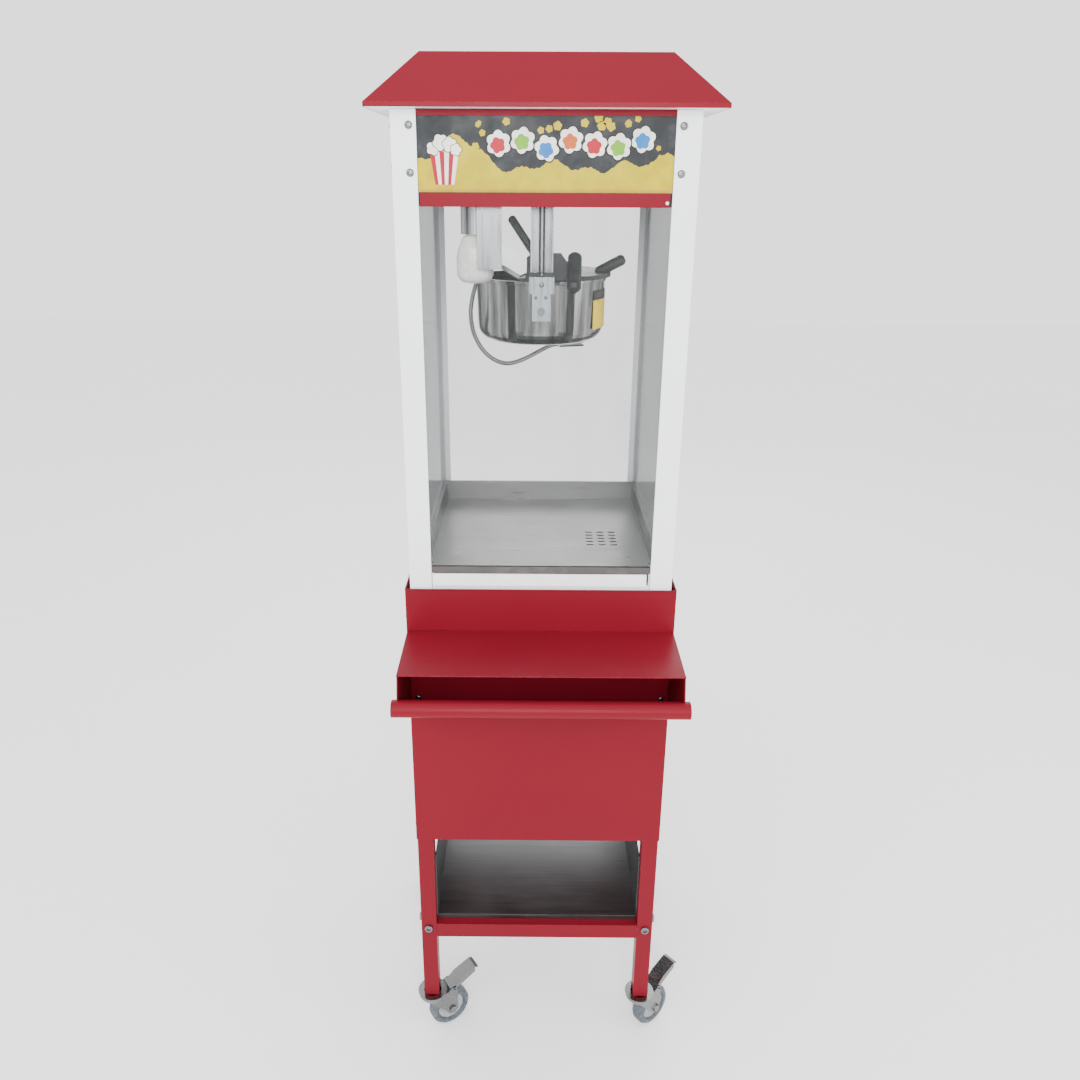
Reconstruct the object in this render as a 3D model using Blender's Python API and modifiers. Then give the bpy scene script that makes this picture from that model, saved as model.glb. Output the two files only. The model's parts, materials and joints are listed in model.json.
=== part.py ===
"""Popcorn cart: a glazed popcorn popper with a tilting kettle, standing on a wheeled serving cart.

Metres, +Z up. The design frame has the symmetry plane at X = 0, the front face of the popper's
posts at Y = 0 and the floor at Z = 0. At the end the whole object is moved so that the bottom
centre of its box is the world origin. The customer stands at -Y and the operator at +Y.
"""

import math

import bmesh
import bpy
from mathutils import Euler, Matrix, Vector

GAP = 0.0003                 # left between touching pieces
SHEET = 0.0012               # folded steel sheet

# Popper cabinet
BODY_HALF = 0.1965           # outer face of the posts
BODY_DEPTH = 0.372           # front face to rear face
POST_FACE = 0.0328           # width of a post's flange
POST_WALL = 0.0015
POST_LIP_X = 0.1780          # inner edge of a post's return lip
POST_TOP = 1.5577
GLASS = 0.004
GLASS_SIDE_X = 0.173         # inner face of the side glass
BASE_LOW = 0.880
BASE_TOP = 0.9285
SILL_TOP = 0.964
HEADER_LOW = 1.4430
CEILING = 1.4502             # underside of the ceiling plate

# Roof
ROOF_LOW = 1.5580
ROOF_TOP = 1.6256
ROOF_OVERHANG = 0.0285
ROOF_RUN = 0.0642            # how far each slope runs inwards
ROOF_LIP = 0.0055

# Kettle and its hanger
KETTLE_X = -0.003
KETTLE_Y = 0.185
KETTLE_R = 0.100
KETTLE_LOW = 1.2470
KETTLE_RIM = 1.3400
KETTLE_WALL = 0.002
PIVOT_Z = 1.304              # height of the tilt pivot
HANGER_Y = 0.0605            # drive shaft's place in the hanger channel
HEAD_BACK = 0.076            # rear face of the gear head
LID_TURN = math.radians(-10)     # the lid set sits turned on the kettle
LID_OPEN = math.radians(28)      # the left lid stands part open
LID_HINGE_X = 0.0160
LID_HINGE_Z = 0.0060

# Cart
CART_HALF = 0.2042
CART_FRONT = -0.0045
CART_BACK = 0.3805
CART_LOW = 0.4393
RIM_TOP = 0.9016
DECK_TOP = 0.8710
LEG = 0.0265
LEG_HALF = 0.2027            # outer face of the legs
LEG_FRONT = -0.0030
LEG_BACK = 0.3790
LEG_WALL = 0.0015
LEG_LOW = 0.090
RAIL_LOW = 0.227
RAIL_TOP = 0.255
PAN_TOP = 0.264
PAN_FLANGE_TOP = 0.392
PAN_HALF = 0.1758

# Serving shelf
SHELF_TOP = 0.8330           # at the cart's face
SHELF_DROP = 0.0040          # how much lower the top plate's front edge is
SHELF_HALF = 0.2030
SHELF_RAIL_HALF = 0.2100
SHELF_REACH = 0.137          # front edge of the top plate, from the design frame's Y = 0
SHELF_LOW = 0.6960           # where the trough's floor meets the cart

# Casters
WHEEL_R = 0.0375
WHEEL_WIDTH = 0.024
CASTER_TRAIL = 0.032
AXLE_R = 0.004
FORK_WALL = 0.0025
# Swivel angle of each caster, from +X towards +Y
CASTERS = {
    "front_left": math.radians(32),
    "front_right": math.radians(42),
    "rear_left": math.radians(150),
    "rear_right": math.radians(35),
}
BRAKED = ("front_left", "front_right")
PEDAL_PIN_X = 0.0380         # brake pedal's pin, from the swivel axis
PEDAL_PIN_Z = 0.0810
PEDAL_PIN_R = 0.0016


# Smaller parts: switches, gland, floor, drawer, door, drive, lead, lamp and cart cabinet
SWITCH_X = (-0.070, 0.0, 0.070)
SWITCH_Z = 1.500
SWITCH_HALF_X = 0.0115
SWITCH_HALF_Z = 0.0155
ROCKER_DEPTH = 0.012
ROCKER_PIN_DEPTH = 0.006      # behind the panel's face
GLAND_X = 0.140
GLAND_Z = 1.478
GLAND_R = 0.0075

FLOOR_LIP_TOP = 0.936
SLOT_COLUMNS, SLOT_ROWS = 3, 5
SLOT_X, SLOT_Y = 0.080, 0.110
SLOT_PITCH_X, SLOT_PITCH_Y = 0.019, 0.014
SLOT_LENGTH, SLOT_R = 0.007, 0.0025
DRAWER_HALF = 0.1500
DRAWER_DEPTH = 0.280
DRAWER_LOW = 0.9075
DRAWER_RIM = 0.9215
DROP_HALF = 0.140
DROP_FRONT, DROP_BACK = 0.060, 0.250

DOOR_AXIS_X = 0.1880
DOOR_AXIS_Y = 0.3780
DOOR_BARREL_R = 0.0042
KNOB_X, KNOB_Z = -0.1725, 1.19
KNOB_R = 0.0065

PIN_R = 0.007
PIN_END = 0.0838
SHAFT_R = 0.004
MOTOR_LOW = CEILING + SHEET + GAP

GRIP_R = 0.0100
LEAD_R = 0.0035

LEAD_ROUTE = [
    (-0.090, 0.125, 1.4500), (-0.0905, 0.1255, 1.4200), (-0.093, 0.127, 1.3800), (-0.097, 0.130, 1.3400),
    (-0.104, 0.135, 1.3130), (-0.1075, 0.140, 1.2880), (-0.1035, 0.147, 1.2580), (-0.0900, 0.152, 1.2320),
    (-0.0720, 0.158, 1.2160), (-0.0520, 0.166, 1.2095), (-0.0300, 0.174, 1.2140), (-0.0080, 0.181, 1.2240),
    (0.0080, 0.1840, 1.2318), (0.0180, 0.185, 1.2356), (0.0260, 0.185, 1.2360),
]

LAMP_X, LAMP_Y = -0.095, 0.060

CABINET_LOW = 0.470
CABINET_TOP = 0.835


# ---------------------------------------------------------------- scene, collections, materials

for leftover in list(bpy.data.objects):
    bpy.data.objects.remove(leftover, do_unlink=True)

PARTS = bpy.data.collections.new("popcorn_cart")
CUTTERS = bpy.data.collections.new("cutters")
for collection in (PARTS, CUTTERS):
    bpy.context.scene.collection.children.link(collection)

FINISHES = {
    "red_paint": ((0.43, 0.035, 0.050), 0.35, 0.0),
    "white_paint": ((0.78, 0.80, 0.82), 0.30, 0.0),
    "sign_print": ((0.75, 0.60, 0.06), 0.35, 0.0),
    "clear_glass": ((0.85, 0.90, 0.90), 0.05, 0.0),
    "steel": ((0.55, 0.56, 0.57), 0.25, 1.0),
    "zinc": ((0.60, 0.61, 0.62), 0.35, 1.0),
    "grey_plate": ((0.16, 0.16, 0.165), 0.45, 0.6),
    "black_plastic": ((0.03, 0.03, 0.032), 0.45, 0.0),
    "lamp_white": ((0.82, 0.82, 0.80), 0.40, 0.0),
    "tyre": ((0.07, 0.09, 0.11), 0.60, 0.0),
}


def finish(name):
    """The named Principled material, made once."""
    if name in bpy.data.materials:
        return bpy.data.materials[name]
    colour, roughness, metallic = FINISHES[name]
    material = bpy.data.materials.new(name)
    material.use_nodes = True
    shader = material.node_tree.nodes["Principled BSDF"]
    shader.inputs["Base Color"].default_value = (*colour, 1.0)
    shader.inputs["Roughness"].default_value = roughness
    shader.inputs["Metallic"].default_value = metallic
    if name == "clear_glass":
        shader.inputs["Transmission Weight"].default_value = 1.0
    return material


# ---------------------------------------------------------------- shape helpers

def empty(name, place, parent=None, turn=0.0):
    """An empty on a joint's axis. turn is its rotation about Z."""
    guide = bpy.data.objects.new(name, None)
    guide.location = place
    guide.rotation_euler = (0, 0, turn)
    guide.parent = parent
    PARTS.objects.link(guide)
    return guide


def add(name, mesh, material, parent, place=(0, 0, 0), rotation=(0, 0, 0), smooth=True):
    """A named part from a mesh."""
    part = bpy.data.objects.new(name, mesh)
    part.location = place
    part.rotation_euler = rotation
    part.parent = parent
    mesh.materials.clear()
    mesh.materials.append(finish(material))
    if smooth:
        mesh.shade_smooth()
        mesh.set_sharp_from_angle(angle=math.radians(35))
    PARTS.objects.link(part)
    return part


def box_mesh(low, high):
    """A box between two corners."""
    low, high = Vector(low), Vector(high)
    work = bmesh.new()
    size = Matrix.Diagonal((*(high - low), 1.0))
    bmesh.ops.create_cube(work, size=1.0, matrix=Matrix.Translation((low + high) / 2) @ size)
    return finished(work, "box")


def rod_mesh(start, end, radius, end_radius=None, sides=24):
    """A cylinder, or a cone, between two points."""
    start, end = Vector(start), Vector(end)
    along = end - start
    turn = Vector((0, 0, 1)).rotation_difference(along).to_matrix().to_4x4()
    work = bmesh.new()
    bmesh.ops.create_cone(
        work, cap_ends=True, cap_tris=False, segments=sides, radius1=radius,
        radius2=radius if end_radius is None else end_radius, depth=along.length,
        matrix=Matrix.Translation((start + end) / 2) @ turn)
    return finished(work, "rod")


def capsule_mesh(start, end, radius, sides=16):
    """A rod with domed ends: a cylinder with a smaller cone on each end."""
    start, end = Vector(start), Vector(end)
    along = (end - start).normalized() * radius * 0.5
    meshes = [rod_mesh(start + along, end - along, radius, sides=sides),
              rod_mesh(start, start + along, radius * 0.6, radius, sides),
              rod_mesh(end - along, end, radius, radius * 0.6, sides)]
    work = bmesh.new()
    for mesh in meshes:
        work.from_mesh(mesh)
    bmesh.ops.remove_doubles(work, verts=work.verts, dist=1e-6)
    inner = [face for face in work.faces if len(face.verts) == sides
             and 1e-4 < (face.calc_center_median() - start).length
             and 1e-4 < (face.calc_center_median() - end).length]
    bmesh.ops.delete(work, geom=inner, context="FACES")
    bmesh.ops.remove_doubles(work, verts=work.verts, dist=1e-6)
    return finished(work, "capsule")


def finished(work, name):
    bmesh.ops.recalc_face_normals(work, faces=work.faces)
    mesh = bpy.data.meshes.new(name)
    work.to_mesh(mesh)
    work.free()
    return mesh


# Rotations that stand a flat outline up: its own x, y, z become these world directions.
FLAT = (0, 0, 0)                                      # x, y, z: extruded along Z
ACROSS = (math.radians(90), 0, math.radians(90))      # y, z, x: extruded along X
FACING = (math.radians(90), 0, 0)                     # x, z, -y: extruded along Y


def prism_mesh(loops, low, high, rotation=FLAT):
    """Closed outlines, the first the outside and the rest holes, extruded between two heights."""
    outline = bpy.data.curves.new("outline", "CURVE")
    outline.dimensions = "2D"
    outline.fill_mode = "BOTH"
    outline.extrude = (high - low) / 2
    for loop in loops:
        spline = outline.splines.new("POLY")
        spline.points.add(len(loop) - 1)
        for point, (x, y) in zip(spline.points, loop):
            point.co = (x, y, 0, 1)
        spline.use_cyclic_u = True
    guide = bpy.data.objects.new("outline", outline)
    CUTTERS.objects.link(guide)
    bpy.context.view_layer.update()
    graph = bpy.context.evaluated_depsgraph_get()
    mesh = bpy.data.meshes.new_from_object(guide.evaluated_get(graph))
    turn = Euler(rotation).to_matrix().to_4x4()
    middle = (low + high) / 2
    shift = turn @ Vector((0, 0, middle if rotation != FACING else -middle))
    mesh.transform(Matrix.Translation(shift) @ turn)
    bpy.data.objects.remove(guide, do_unlink=True)
    work = bmesh.new()
    work.from_mesh(mesh)
    bmesh.ops.remove_doubles(work, verts=work.verts, dist=1e-6)
    return finished(work, "prism")


def rectangle(low_x, high_x, low_y, high_y):
    return [(low_x, low_y), (high_x, low_y), (high_x, high_y), (low_x, high_y)]


def arc(centre, radius, start, end, steps):
    """Points along an arc, angles in degrees."""
    return [(centre[0] + radius * math.cos(math.radians(start + (end - start) * i / steps)),
             centre[1] + radius * math.sin(math.radians(start + (end - start) * i / steps)))
            for i in range(steps + 1)]


def strip(points, thickness):
    """The outline of a bent sheet whose one face follows the points and whose other lies to their left."""
    path = [Vector(point) for point in points]
    normals = [Vector((-(b - a).y, (b - a).x)).normalized() for a, b in zip(path, path[1:])]
    offset = [path[0] + normals[0] * thickness]
    for before, after, corner in zip(normals, normals[1:], path[1:-1]):
        middle = (before + after).normalized()
        offset.append(corner + middle * thickness / middle.dot(before))
    offset.append(path[-1] + normals[-1] * thickness)
    return [tuple(point) for point in path + offset[::-1]]


def turned(name, profile, material, parent, place, steps=48, rotation=(0, 0, 0)):
    """A closed profile of (radius, height) points, outer side first from the top down, turned about Z."""
    work = bmesh.new()
    points = [work.verts.new((radius, 0, height)) for radius, height in profile]
    for first, second in zip(points, points[1:]):
        work.edges.new((first, second))
    if profile[0][0] > 0 and profile[-1][0] > 0:
        work.edges.new((points[-1], points[0]))
    mesh = bpy.data.meshes.new(name)
    work.to_mesh(mesh)
    work.free()
    part = add(name, mesh, material, parent, place, rotation, smooth=False)
    screw = part.modifiers.new("turn", "SCREW")
    screw.steps = screw.render_steps = steps
    screw.use_merge_vertices = True
    screw.merge_threshold = 1e-5
    screw.use_smooth_shade = True
    return part


def tool(mesh, parent, place=(0, 0, 0), rotation=(0, 0, 0)):
    """A cutter or a shape to join, left out of the model."""
    helper = bpy.data.objects.new("tool", mesh)
    helper.location = place
    helper.rotation_euler = rotation
    helper.parent = parent
    helper.hide_render = True
    helper.display_type = "WIRE"
    CUTTERS.objects.link(helper)
    return helper


def combine(part, mesh, operation, place=(0, 0, 0), rotation=(0, 0, 0)):
    """Cuts a mesh from a part or joins it on. The mesh shares the part's parent frame."""
    boolean = part.modifiers.new(operation.lower(), "BOOLEAN")
    boolean.operation = operation
    boolean.object = tool(mesh, part.parent, place, rotation)
    return part


def cut(part, mesh, **where):
    return combine(part, mesh, "DIFFERENCE", **where)


def join(part, mesh, **where):
    return combine(part, mesh, "UNION", **where)


def cut_corners(part, clear_x, clear_low_y, clear_high_y, low_z, high_z):
    """Notches the four corners of a plate: what lies beyond clear_x and outside the two clear_y."""
    far = 0.5
    for x in ((-far, -clear_x), (clear_x, far)):
        for y in ((-far, clear_low_y), (clear_high_y, 2 * far)):
            cut(part, box_mesh((x[0], y[0], low_z - 0.001), (x[1], y[1], high_z + 0.001)))


# ---------------------------------------------------------------- roof and header

def make_roof(datum):
    """Pressed sheet roof: four slopes, a flat top and a short upright lip round the eaves."""
    half = BODY_HALF + ROOF_OVERHANG
    front, back = -ROOF_OVERHANG, BODY_DEPTH + ROOF_OVERHANG
    work = bmesh.new()
    bmesh.ops.create_cube(work, size=1.0)
    for corner in work.verts:
        inset = ROOF_RUN if corner.co.z > 0 else 0.0
        corner.co.x = math.copysign(half - inset, corner.co.x)
        corner.co.y = front + inset if corner.co.y < 0 else back - inset
        corner.co.z = ROOF_TOP if corner.co.z > 0 else ROOF_LOW + ROOF_LIP
    bottom = min(work.faces, key=lambda face: face.calc_center_median().z)
    bmesh.ops.delete(work, geom=[bottom], context="FACES_ONLY")
    eaves = [edge for edge in work.edges if edge.is_boundary]
    lip = bmesh.ops.extrude_edge_only(work, edges=eaves)["geom"]
    for item in lip:
        if isinstance(item, bmesh.types.BMVert):
            item.co.z = ROOF_LOW
    roof = add("roof", finished(work, "roof"), "red_paint", datum, smooth=False)
    skin = roof.modifiers.new("sheet", "SOLIDIFY")
    skin.thickness = SHEET
    skin.offset = -1.0
    skin.use_even_offset = True

    base = [rectangle(-half + SHEET + GAP, half - SHEET - GAP, front + SHEET + GAP, back - SHEET - GAP)]
    add("roof_base", prism_mesh(base, ROOF_LOW, ROOF_LOW + SHEET), "white_paint", datum, smooth=False)


def make_header(datum):
    """Sign at the front, plain panels at the sides, switch panel at the back, ceiling plate below."""
    wide = BODY_HALF - POST_WALL - GAP
    front = POST_WALL + GAP
    add("sign_panel", box_mesh((-wide, front, HEADER_LOW), (wide, front + SHEET, POST_TOP)),
        "sign_print", datum, smooth=False)
    add("sign_rail", box_mesh((-0.1615, -0.002, 1.4425), (0.1605, POST_WALL, 1.4595)),
        "red_paint", datum, smooth=False)
    for side, name in ((-1, "side_header_left"), (1, "side_header_right")):
        x = sorted((side * (wide - SHEET), side * wide))
        add(name, box_mesh((x[0], POST_FACE + GAP, HEADER_LOW),
                           (x[1], BODY_DEPTH - POST_FACE - GAP, POST_TOP)),
            "red_paint", datum, smooth=False)

    half = wide - SHEET - 0.0006
    ceiling = add("ceiling_plate",
                  box_mesh((-half, 0.008, CEILING), (half, BODY_DEPTH - 0.004, CEILING + SHEET)),
                  "steel", datum, smooth=False)
    cut_corners(ceiling, POST_LIP_X - 0.0006, POST_FACE + GAP, BODY_DEPTH - POST_FACE - GAP,
                CEILING, CEILING + SHEET)
    for x, y, radius in ((KETTLE_X, HANGER_Y, 0.006), (LEAD_ROUTE[0][0], LEAD_ROUTE[0][1], 0.005)):
        cut(ceiling, rod_mesh((x, y, CEILING - 0.01), (x, y, CEILING + 0.01), radius, sides=16))

    back = BODY_DEPTH - POST_WALL - GAP
    holes = [rectangle(x - SWITCH_HALF_X, x + SWITCH_HALF_X,
                       SWITCH_Z - SWITCH_HALF_Z, SWITCH_Z + SWITCH_HALF_Z)
             for x in SWITCH_X]
    holes.append(arc((GLAND_X, GLAND_Z), GLAND_R, 0, 345, 23))
    add("control_panel", prism_mesh(
        [rectangle(-wide, wide, HEADER_LOW, POST_TOP), *holes], back - SHEET, back, FACING),
        "steel", datum, smooth=False)


def make_switches(datum):
    """Three rockers, for the motor, the heater and the lamp, each rocking on a pin across its width."""
    face = BODY_DEPTH - POST_WALL - GAP
    profile = [(-ROCKER_DEPTH, -0.010), (0.0010, -0.0140), (0.0016, 0.0), (0.0045, 0.0135),
               (-ROCKER_DEPTH, 0.010)]
    for x, name in zip(SWITCH_X, ("switch_motor", "switch_heater", "switch_lamp")):
        pivot = empty(name + "_pin", (x, face - ROCKER_PIN_DEPTH, SWITCH_Z), datum)
        half = SWITCH_HALF_X - 0.0006
        add(name, prism_mesh([[(y + ROCKER_PIN_DEPTH, z) for y, z in profile]], -half, half, ACROSS),
            "black_plastic", pivot, smooth=False)


def make_gland(datum):
    """Cord gland where the mains lead would enter: a flanged bush with a hole through it."""
    bore, barrel, flange = 0.0042, GLAND_R - 0.0004, 0.0115
    profile = [(barrel, 0.016), (barrel, 0.0), (flange, 0.0), (flange, -0.005), (0.009, -0.012),
               (bore, -0.012), (bore, 0.016)]
    face = BODY_DEPTH - POST_WALL
    turned("cord_gland", profile, "black_plastic", datum, (GLAND_X, face, GLAND_Z), 24,
           (math.radians(90), 0, 0))


# ---------------------------------------------------------------- posts, glass, base

def make_posts(datum):
    """Four folded posts: a face flange, an outer flange and a return lip that the glass stands behind."""
    outer, inner = BODY_HALF, BODY_HALF - POST_FACE
    wall = POST_WALL
    profile = [(outer, 0), (outer, POST_FACE), (POST_LIP_X, POST_FACE), (POST_LIP_X, POST_FACE - wall),
               (outer - wall, POST_FACE - wall), (outer - wall, wall), (inner, wall), (inner, 0)]
    for side, x_name in ((-1, "left"), (1, "right")):
        for end, y_name in ((0, "front"), (1, "rear")):
            outline = [(side * x, BODY_DEPTH - y if end else y) for x, y in profile]
            add(f"post_{y_name}_{x_name}", prism_mesh([outline], DECK_TOP + GAP, POST_TOP),
                "white_paint", datum, smooth=False)


def make_glass(datum):
    """Fixed front and side panes."""
    front = POST_WALL + 2 * GAP + SHEET
    wide = BODY_HALF - POST_WALL - 0.0015
    add("front_glass", box_mesh((-wide, front, BASE_TOP + GAP), (wide, front + GLASS, CEILING - GAP)),
        "clear_glass", datum, smooth=False)
    for side, name in ((-1, "side_glass_left"), (1, "side_glass_right")):
        x = sorted((side * GLASS_SIDE_X, side * (GLASS_SIDE_X + GLASS)))
        add(name, box_mesh((x[0], front + GLASS + GAP, BASE_TOP + GAP),
                           (x[1], BODY_DEPTH - POST_WALL - 0.002, CEILING - GAP)),
            "clear_glass", datum, smooth=False)


def make_base(datum):
    """Base tub with the drawer's tunnel, the perforated floor over it and the sills round the floor."""
    wide = BODY_HALF - POST_WALL - 0.0006
    narrow = BODY_HALF - POST_FACE - GAP
    clear_y = (POST_FACE + GAP, BODY_DEPTH - POST_FACE - GAP)
    base = add("base_frame", box_mesh((-wide, 0.0024, BASE_LOW), (wide, BODY_DEPTH - 0.0024, BASE_TOP)),
               "white_paint", datum, smooth=False)
    cut_corners(base, narrow, *clear_y, BASE_LOW, BASE_TOP)
    cut(base, box_mesh((-narrow + 0.002, -0.01, DRAWER_LOW - 0.0006),
                       (narrow - 0.002, DRAWER_DEPTH + 0.004, BASE_TOP - 0.0015)))
    cut(base, box_mesh((-narrow + 0.002, 0.0044, BASE_LOW - 0.01),
                       (narrow - 0.002, BODY_DEPTH - 0.0044, DRAWER_LOW - 0.0026)))
    slots = box_mesh((-DROP_HALF, DROP_FRONT, BASE_TOP - 0.01), (DROP_HALF, DROP_BACK, BASE_TOP + 0.01))
    cut(base, slots)

    floor = BASE_TOP + GAP
    front = 0.0078
    half = GLASS_SIDE_X - 0.0054
    plan = rectangle(-half, half, front, BODY_DEPTH - 0.036)
    holes = []
    for column in range(SLOT_COLUMNS):
        for row in range(SLOT_ROWS):
            x = SLOT_X + column * SLOT_PITCH_X
            y = SLOT_Y + row * SLOT_PITCH_Y
            ends = arc((x + SLOT_LENGTH / 2, y), SLOT_R, -90, 90, 4)
            ends += arc((x - SLOT_LENGTH / 2, y), SLOT_R, 90, 270, 4)
            holes.append(ends)
    plate = add("floor_plate", prism_mesh([plan, *holes], floor, floor + SHEET),
                "steel", datum, smooth=False)
    cut_corners(plate, narrow, *clear_y, floor, floor + SHEET)
    join(plate, box_mesh((-narrow + 0.0005, front + 0.0002, floor + 0.0004),
                         (narrow - 0.0005, front + SHEET, FLOOR_LIP_TOP)))

    inner, outer = GLASS_SIDE_X - 0.005, GLASS_SIDE_X - GAP
    low_y, high_y = POST_FACE + GAP, BODY_DEPTH - POST_FACE - GAP
    plan = [(-outer, low_y), (-inner, low_y), (-inner, high_y - 0.005), (inner, high_y - 0.005),
            (inner, low_y), (outer, low_y), (outer, high_y), (-outer, high_y)]
    add("floor_sill", prism_mesh([plan], floor + SHEET + GAP, SILL_TOP), "steel", datum, smooth=False)


def make_drawer(datum):
    """Crumb drawer under the perforated floor: an open tray behind a white front."""
    wall = 0.0015
    front_face = -0.001
    slide = empty("crumb_drawer_slide", (0, front_face, DRAWER_LOW), datum)
    tray = add("crumb_drawer", box_mesh((-DRAWER_HALF, 0.0, 0.0),
                                        (DRAWER_HALF, DRAWER_DEPTH, DRAWER_RIM - DRAWER_LOW)),
               "white_paint", slide, smooth=False)
    cut(tray, box_mesh((-DRAWER_HALF + wall, 0.004, wall),
                       (DRAWER_HALF - wall, DRAWER_DEPTH - wall, 0.05)))
    join(tray, box_mesh((-0.1620, 0.0, 0.9062 - DRAWER_LOW), (0.1580, 0.0025, 0.9256 - DRAWER_LOW)))


def make_door(datum):
    """Clear rear door that closes over the rear posts and swings out on two hinges at the right."""
    low, high = 0.9350, 1.4410
    inner = BODY_DEPTH + GAP
    hinge = empty("rear_door_hinge", (DOOR_AXIS_X, DOOR_AXIS_Y, 0), datum)
    left = -0.1800 - DOOR_AXIS_X
    right = 0.1760 - DOOR_AXIS_X
    add("rear_door", box_mesh((left, inner - DOOR_AXIS_Y, low), (right, inner + GLASS - DOOR_AXIS_Y, high)),
        "clear_glass", hinge, smooth=False)
    knob = [(0.0, 0.020), (0.0045, 0.0195), (KNOB_R, 0.017), (KNOB_R, 0.011), (0.0038, 0.008),
            (0.0038, 0.0), (0.0, 0.0)]
    turned("door_knob", knob, "black_plastic", hinge,
           (KNOB_X - DOOR_AXIS_X, inner + GLASS + GAP - DOOR_AXIS_Y, KNOB_Z), 24,
           (math.radians(-90), 0, 0))
    for low_z, high_z, name in ((1.3738, 1.4084, "door_hinge_upper"), (1.1430, 1.1774, "door_hinge_lower")):
        barrel = add(name, rod_mesh((DOOR_AXIS_X, DOOR_AXIS_Y, low_z), (DOOR_AXIS_X, DOOR_AXIS_Y, high_z),
                                    DOOR_BARREL_R, sides=20), "zinc", datum)
        leaf = 0.0024
        join(barrel, box_mesh((DOOR_AXIS_X, inner, low_z), (BODY_HALF + 0.0014, inner + leaf, high_z)))
        join(barrel, box_mesh((BODY_HALF + GAP, BODY_DEPTH - 0.022, low_z),
                              (BODY_HALF + 0.0018, inner + leaf, high_z)))


# ---------------------------------------------------------------- kettle, drive and lamp

def make_hanger(datum):
    """Channel hanger from the ceiling, the gear head under it and the shaft that drives the stirrer."""
    low = 1.3505
    x0, x1 = KETTLE_X - 0.0155, KETTLE_X + 0.0155
    y0, y1 = HANGER_Y - 0.0125, HANGER_Y + 0.0125
    wall = 0.002
    channel = [(x0, y0), (x0 + wall, y0), (x0 + wall, y1 - wall), (x1 - wall, y1 - wall), (x1 - wall, y0),
               (x1, y0), (x1, y1), (x0, y1)]
    add("hanger_arm", prism_mesh([channel], low, CEILING - GAP), "steel", datum, smooth=False)

    head = add("gear_head",
               box_mesh((KETTLE_X - 0.0130, 0.0475, 1.2905), (KETTLE_X + 0.0130, HEAD_BACK, 1.3300)),
               "steel", datum)
    join(head, box_mesh((KETTLE_X - 0.0175, 0.0460, 1.3280), (KETTLE_X + 0.0175, HEAD_BACK, low - GAP)))
    join(head, rod_mesh((KETTLE_X, HEAD_BACK - 0.004, PIVOT_Z), (KETTLE_X, PIN_END, PIVOT_Z), PIN_R,
                        sides=32))
    cut(head, rod_mesh((KETTLE_X, 0.057, PIVOT_Z), (KETTLE_X, 0.1, PIVOT_Z), SHAFT_R + 0.0005))
    cut(head, rod_mesh((KETTLE_X, HANGER_Y, 1.326), (KETTLE_X, HANGER_Y, 1.36), SHAFT_R + 0.0005))

    spin = empty("drive_shaft_axis", (KETTLE_X, HANGER_Y, 0), datum)
    add("drive_shaft", rod_mesh((0, 0, 1.327), (0, 0, CEILING + 0.016), SHAFT_R), "steel", spin)
    spin = empty("cross_shaft_axis", (KETTLE_X, 0, PIVOT_Z), datum)
    shaft = add("cross_shaft", rod_mesh((0, 0.058, 0), (0, KETTLE_Y - 0.018, 0), SHAFT_R), "steel", spin)
    join(shaft, rod_mesh((0, KETTLE_Y - 0.022, 0), (0, KETTLE_Y - 0.0135, 0), 0.012, 0.0045))

    motor = add("stir_motor", box_mesh((KETTLE_X - 0.032, HANGER_Y - 0.025, MOTOR_LOW),
                                       (KETTLE_X + 0.032, HANGER_Y + 0.045, MOTOR_LOW + 0.028)),
                "steel", datum)
    join(motor, rod_mesh((KETTLE_X, HANGER_Y + 0.012, MOTOR_LOW + 0.02),
                         (KETTLE_X, HANGER_Y + 0.012, MOTOR_LOW + 0.078), 0.026, sides=32))
    cut(motor, rod_mesh((KETTLE_X, HANGER_Y, MOTOR_LOW - 0.01), (KETTLE_X, HANGER_Y, CEILING + 0.017),
                        SHAFT_R + 0.0005))


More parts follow.
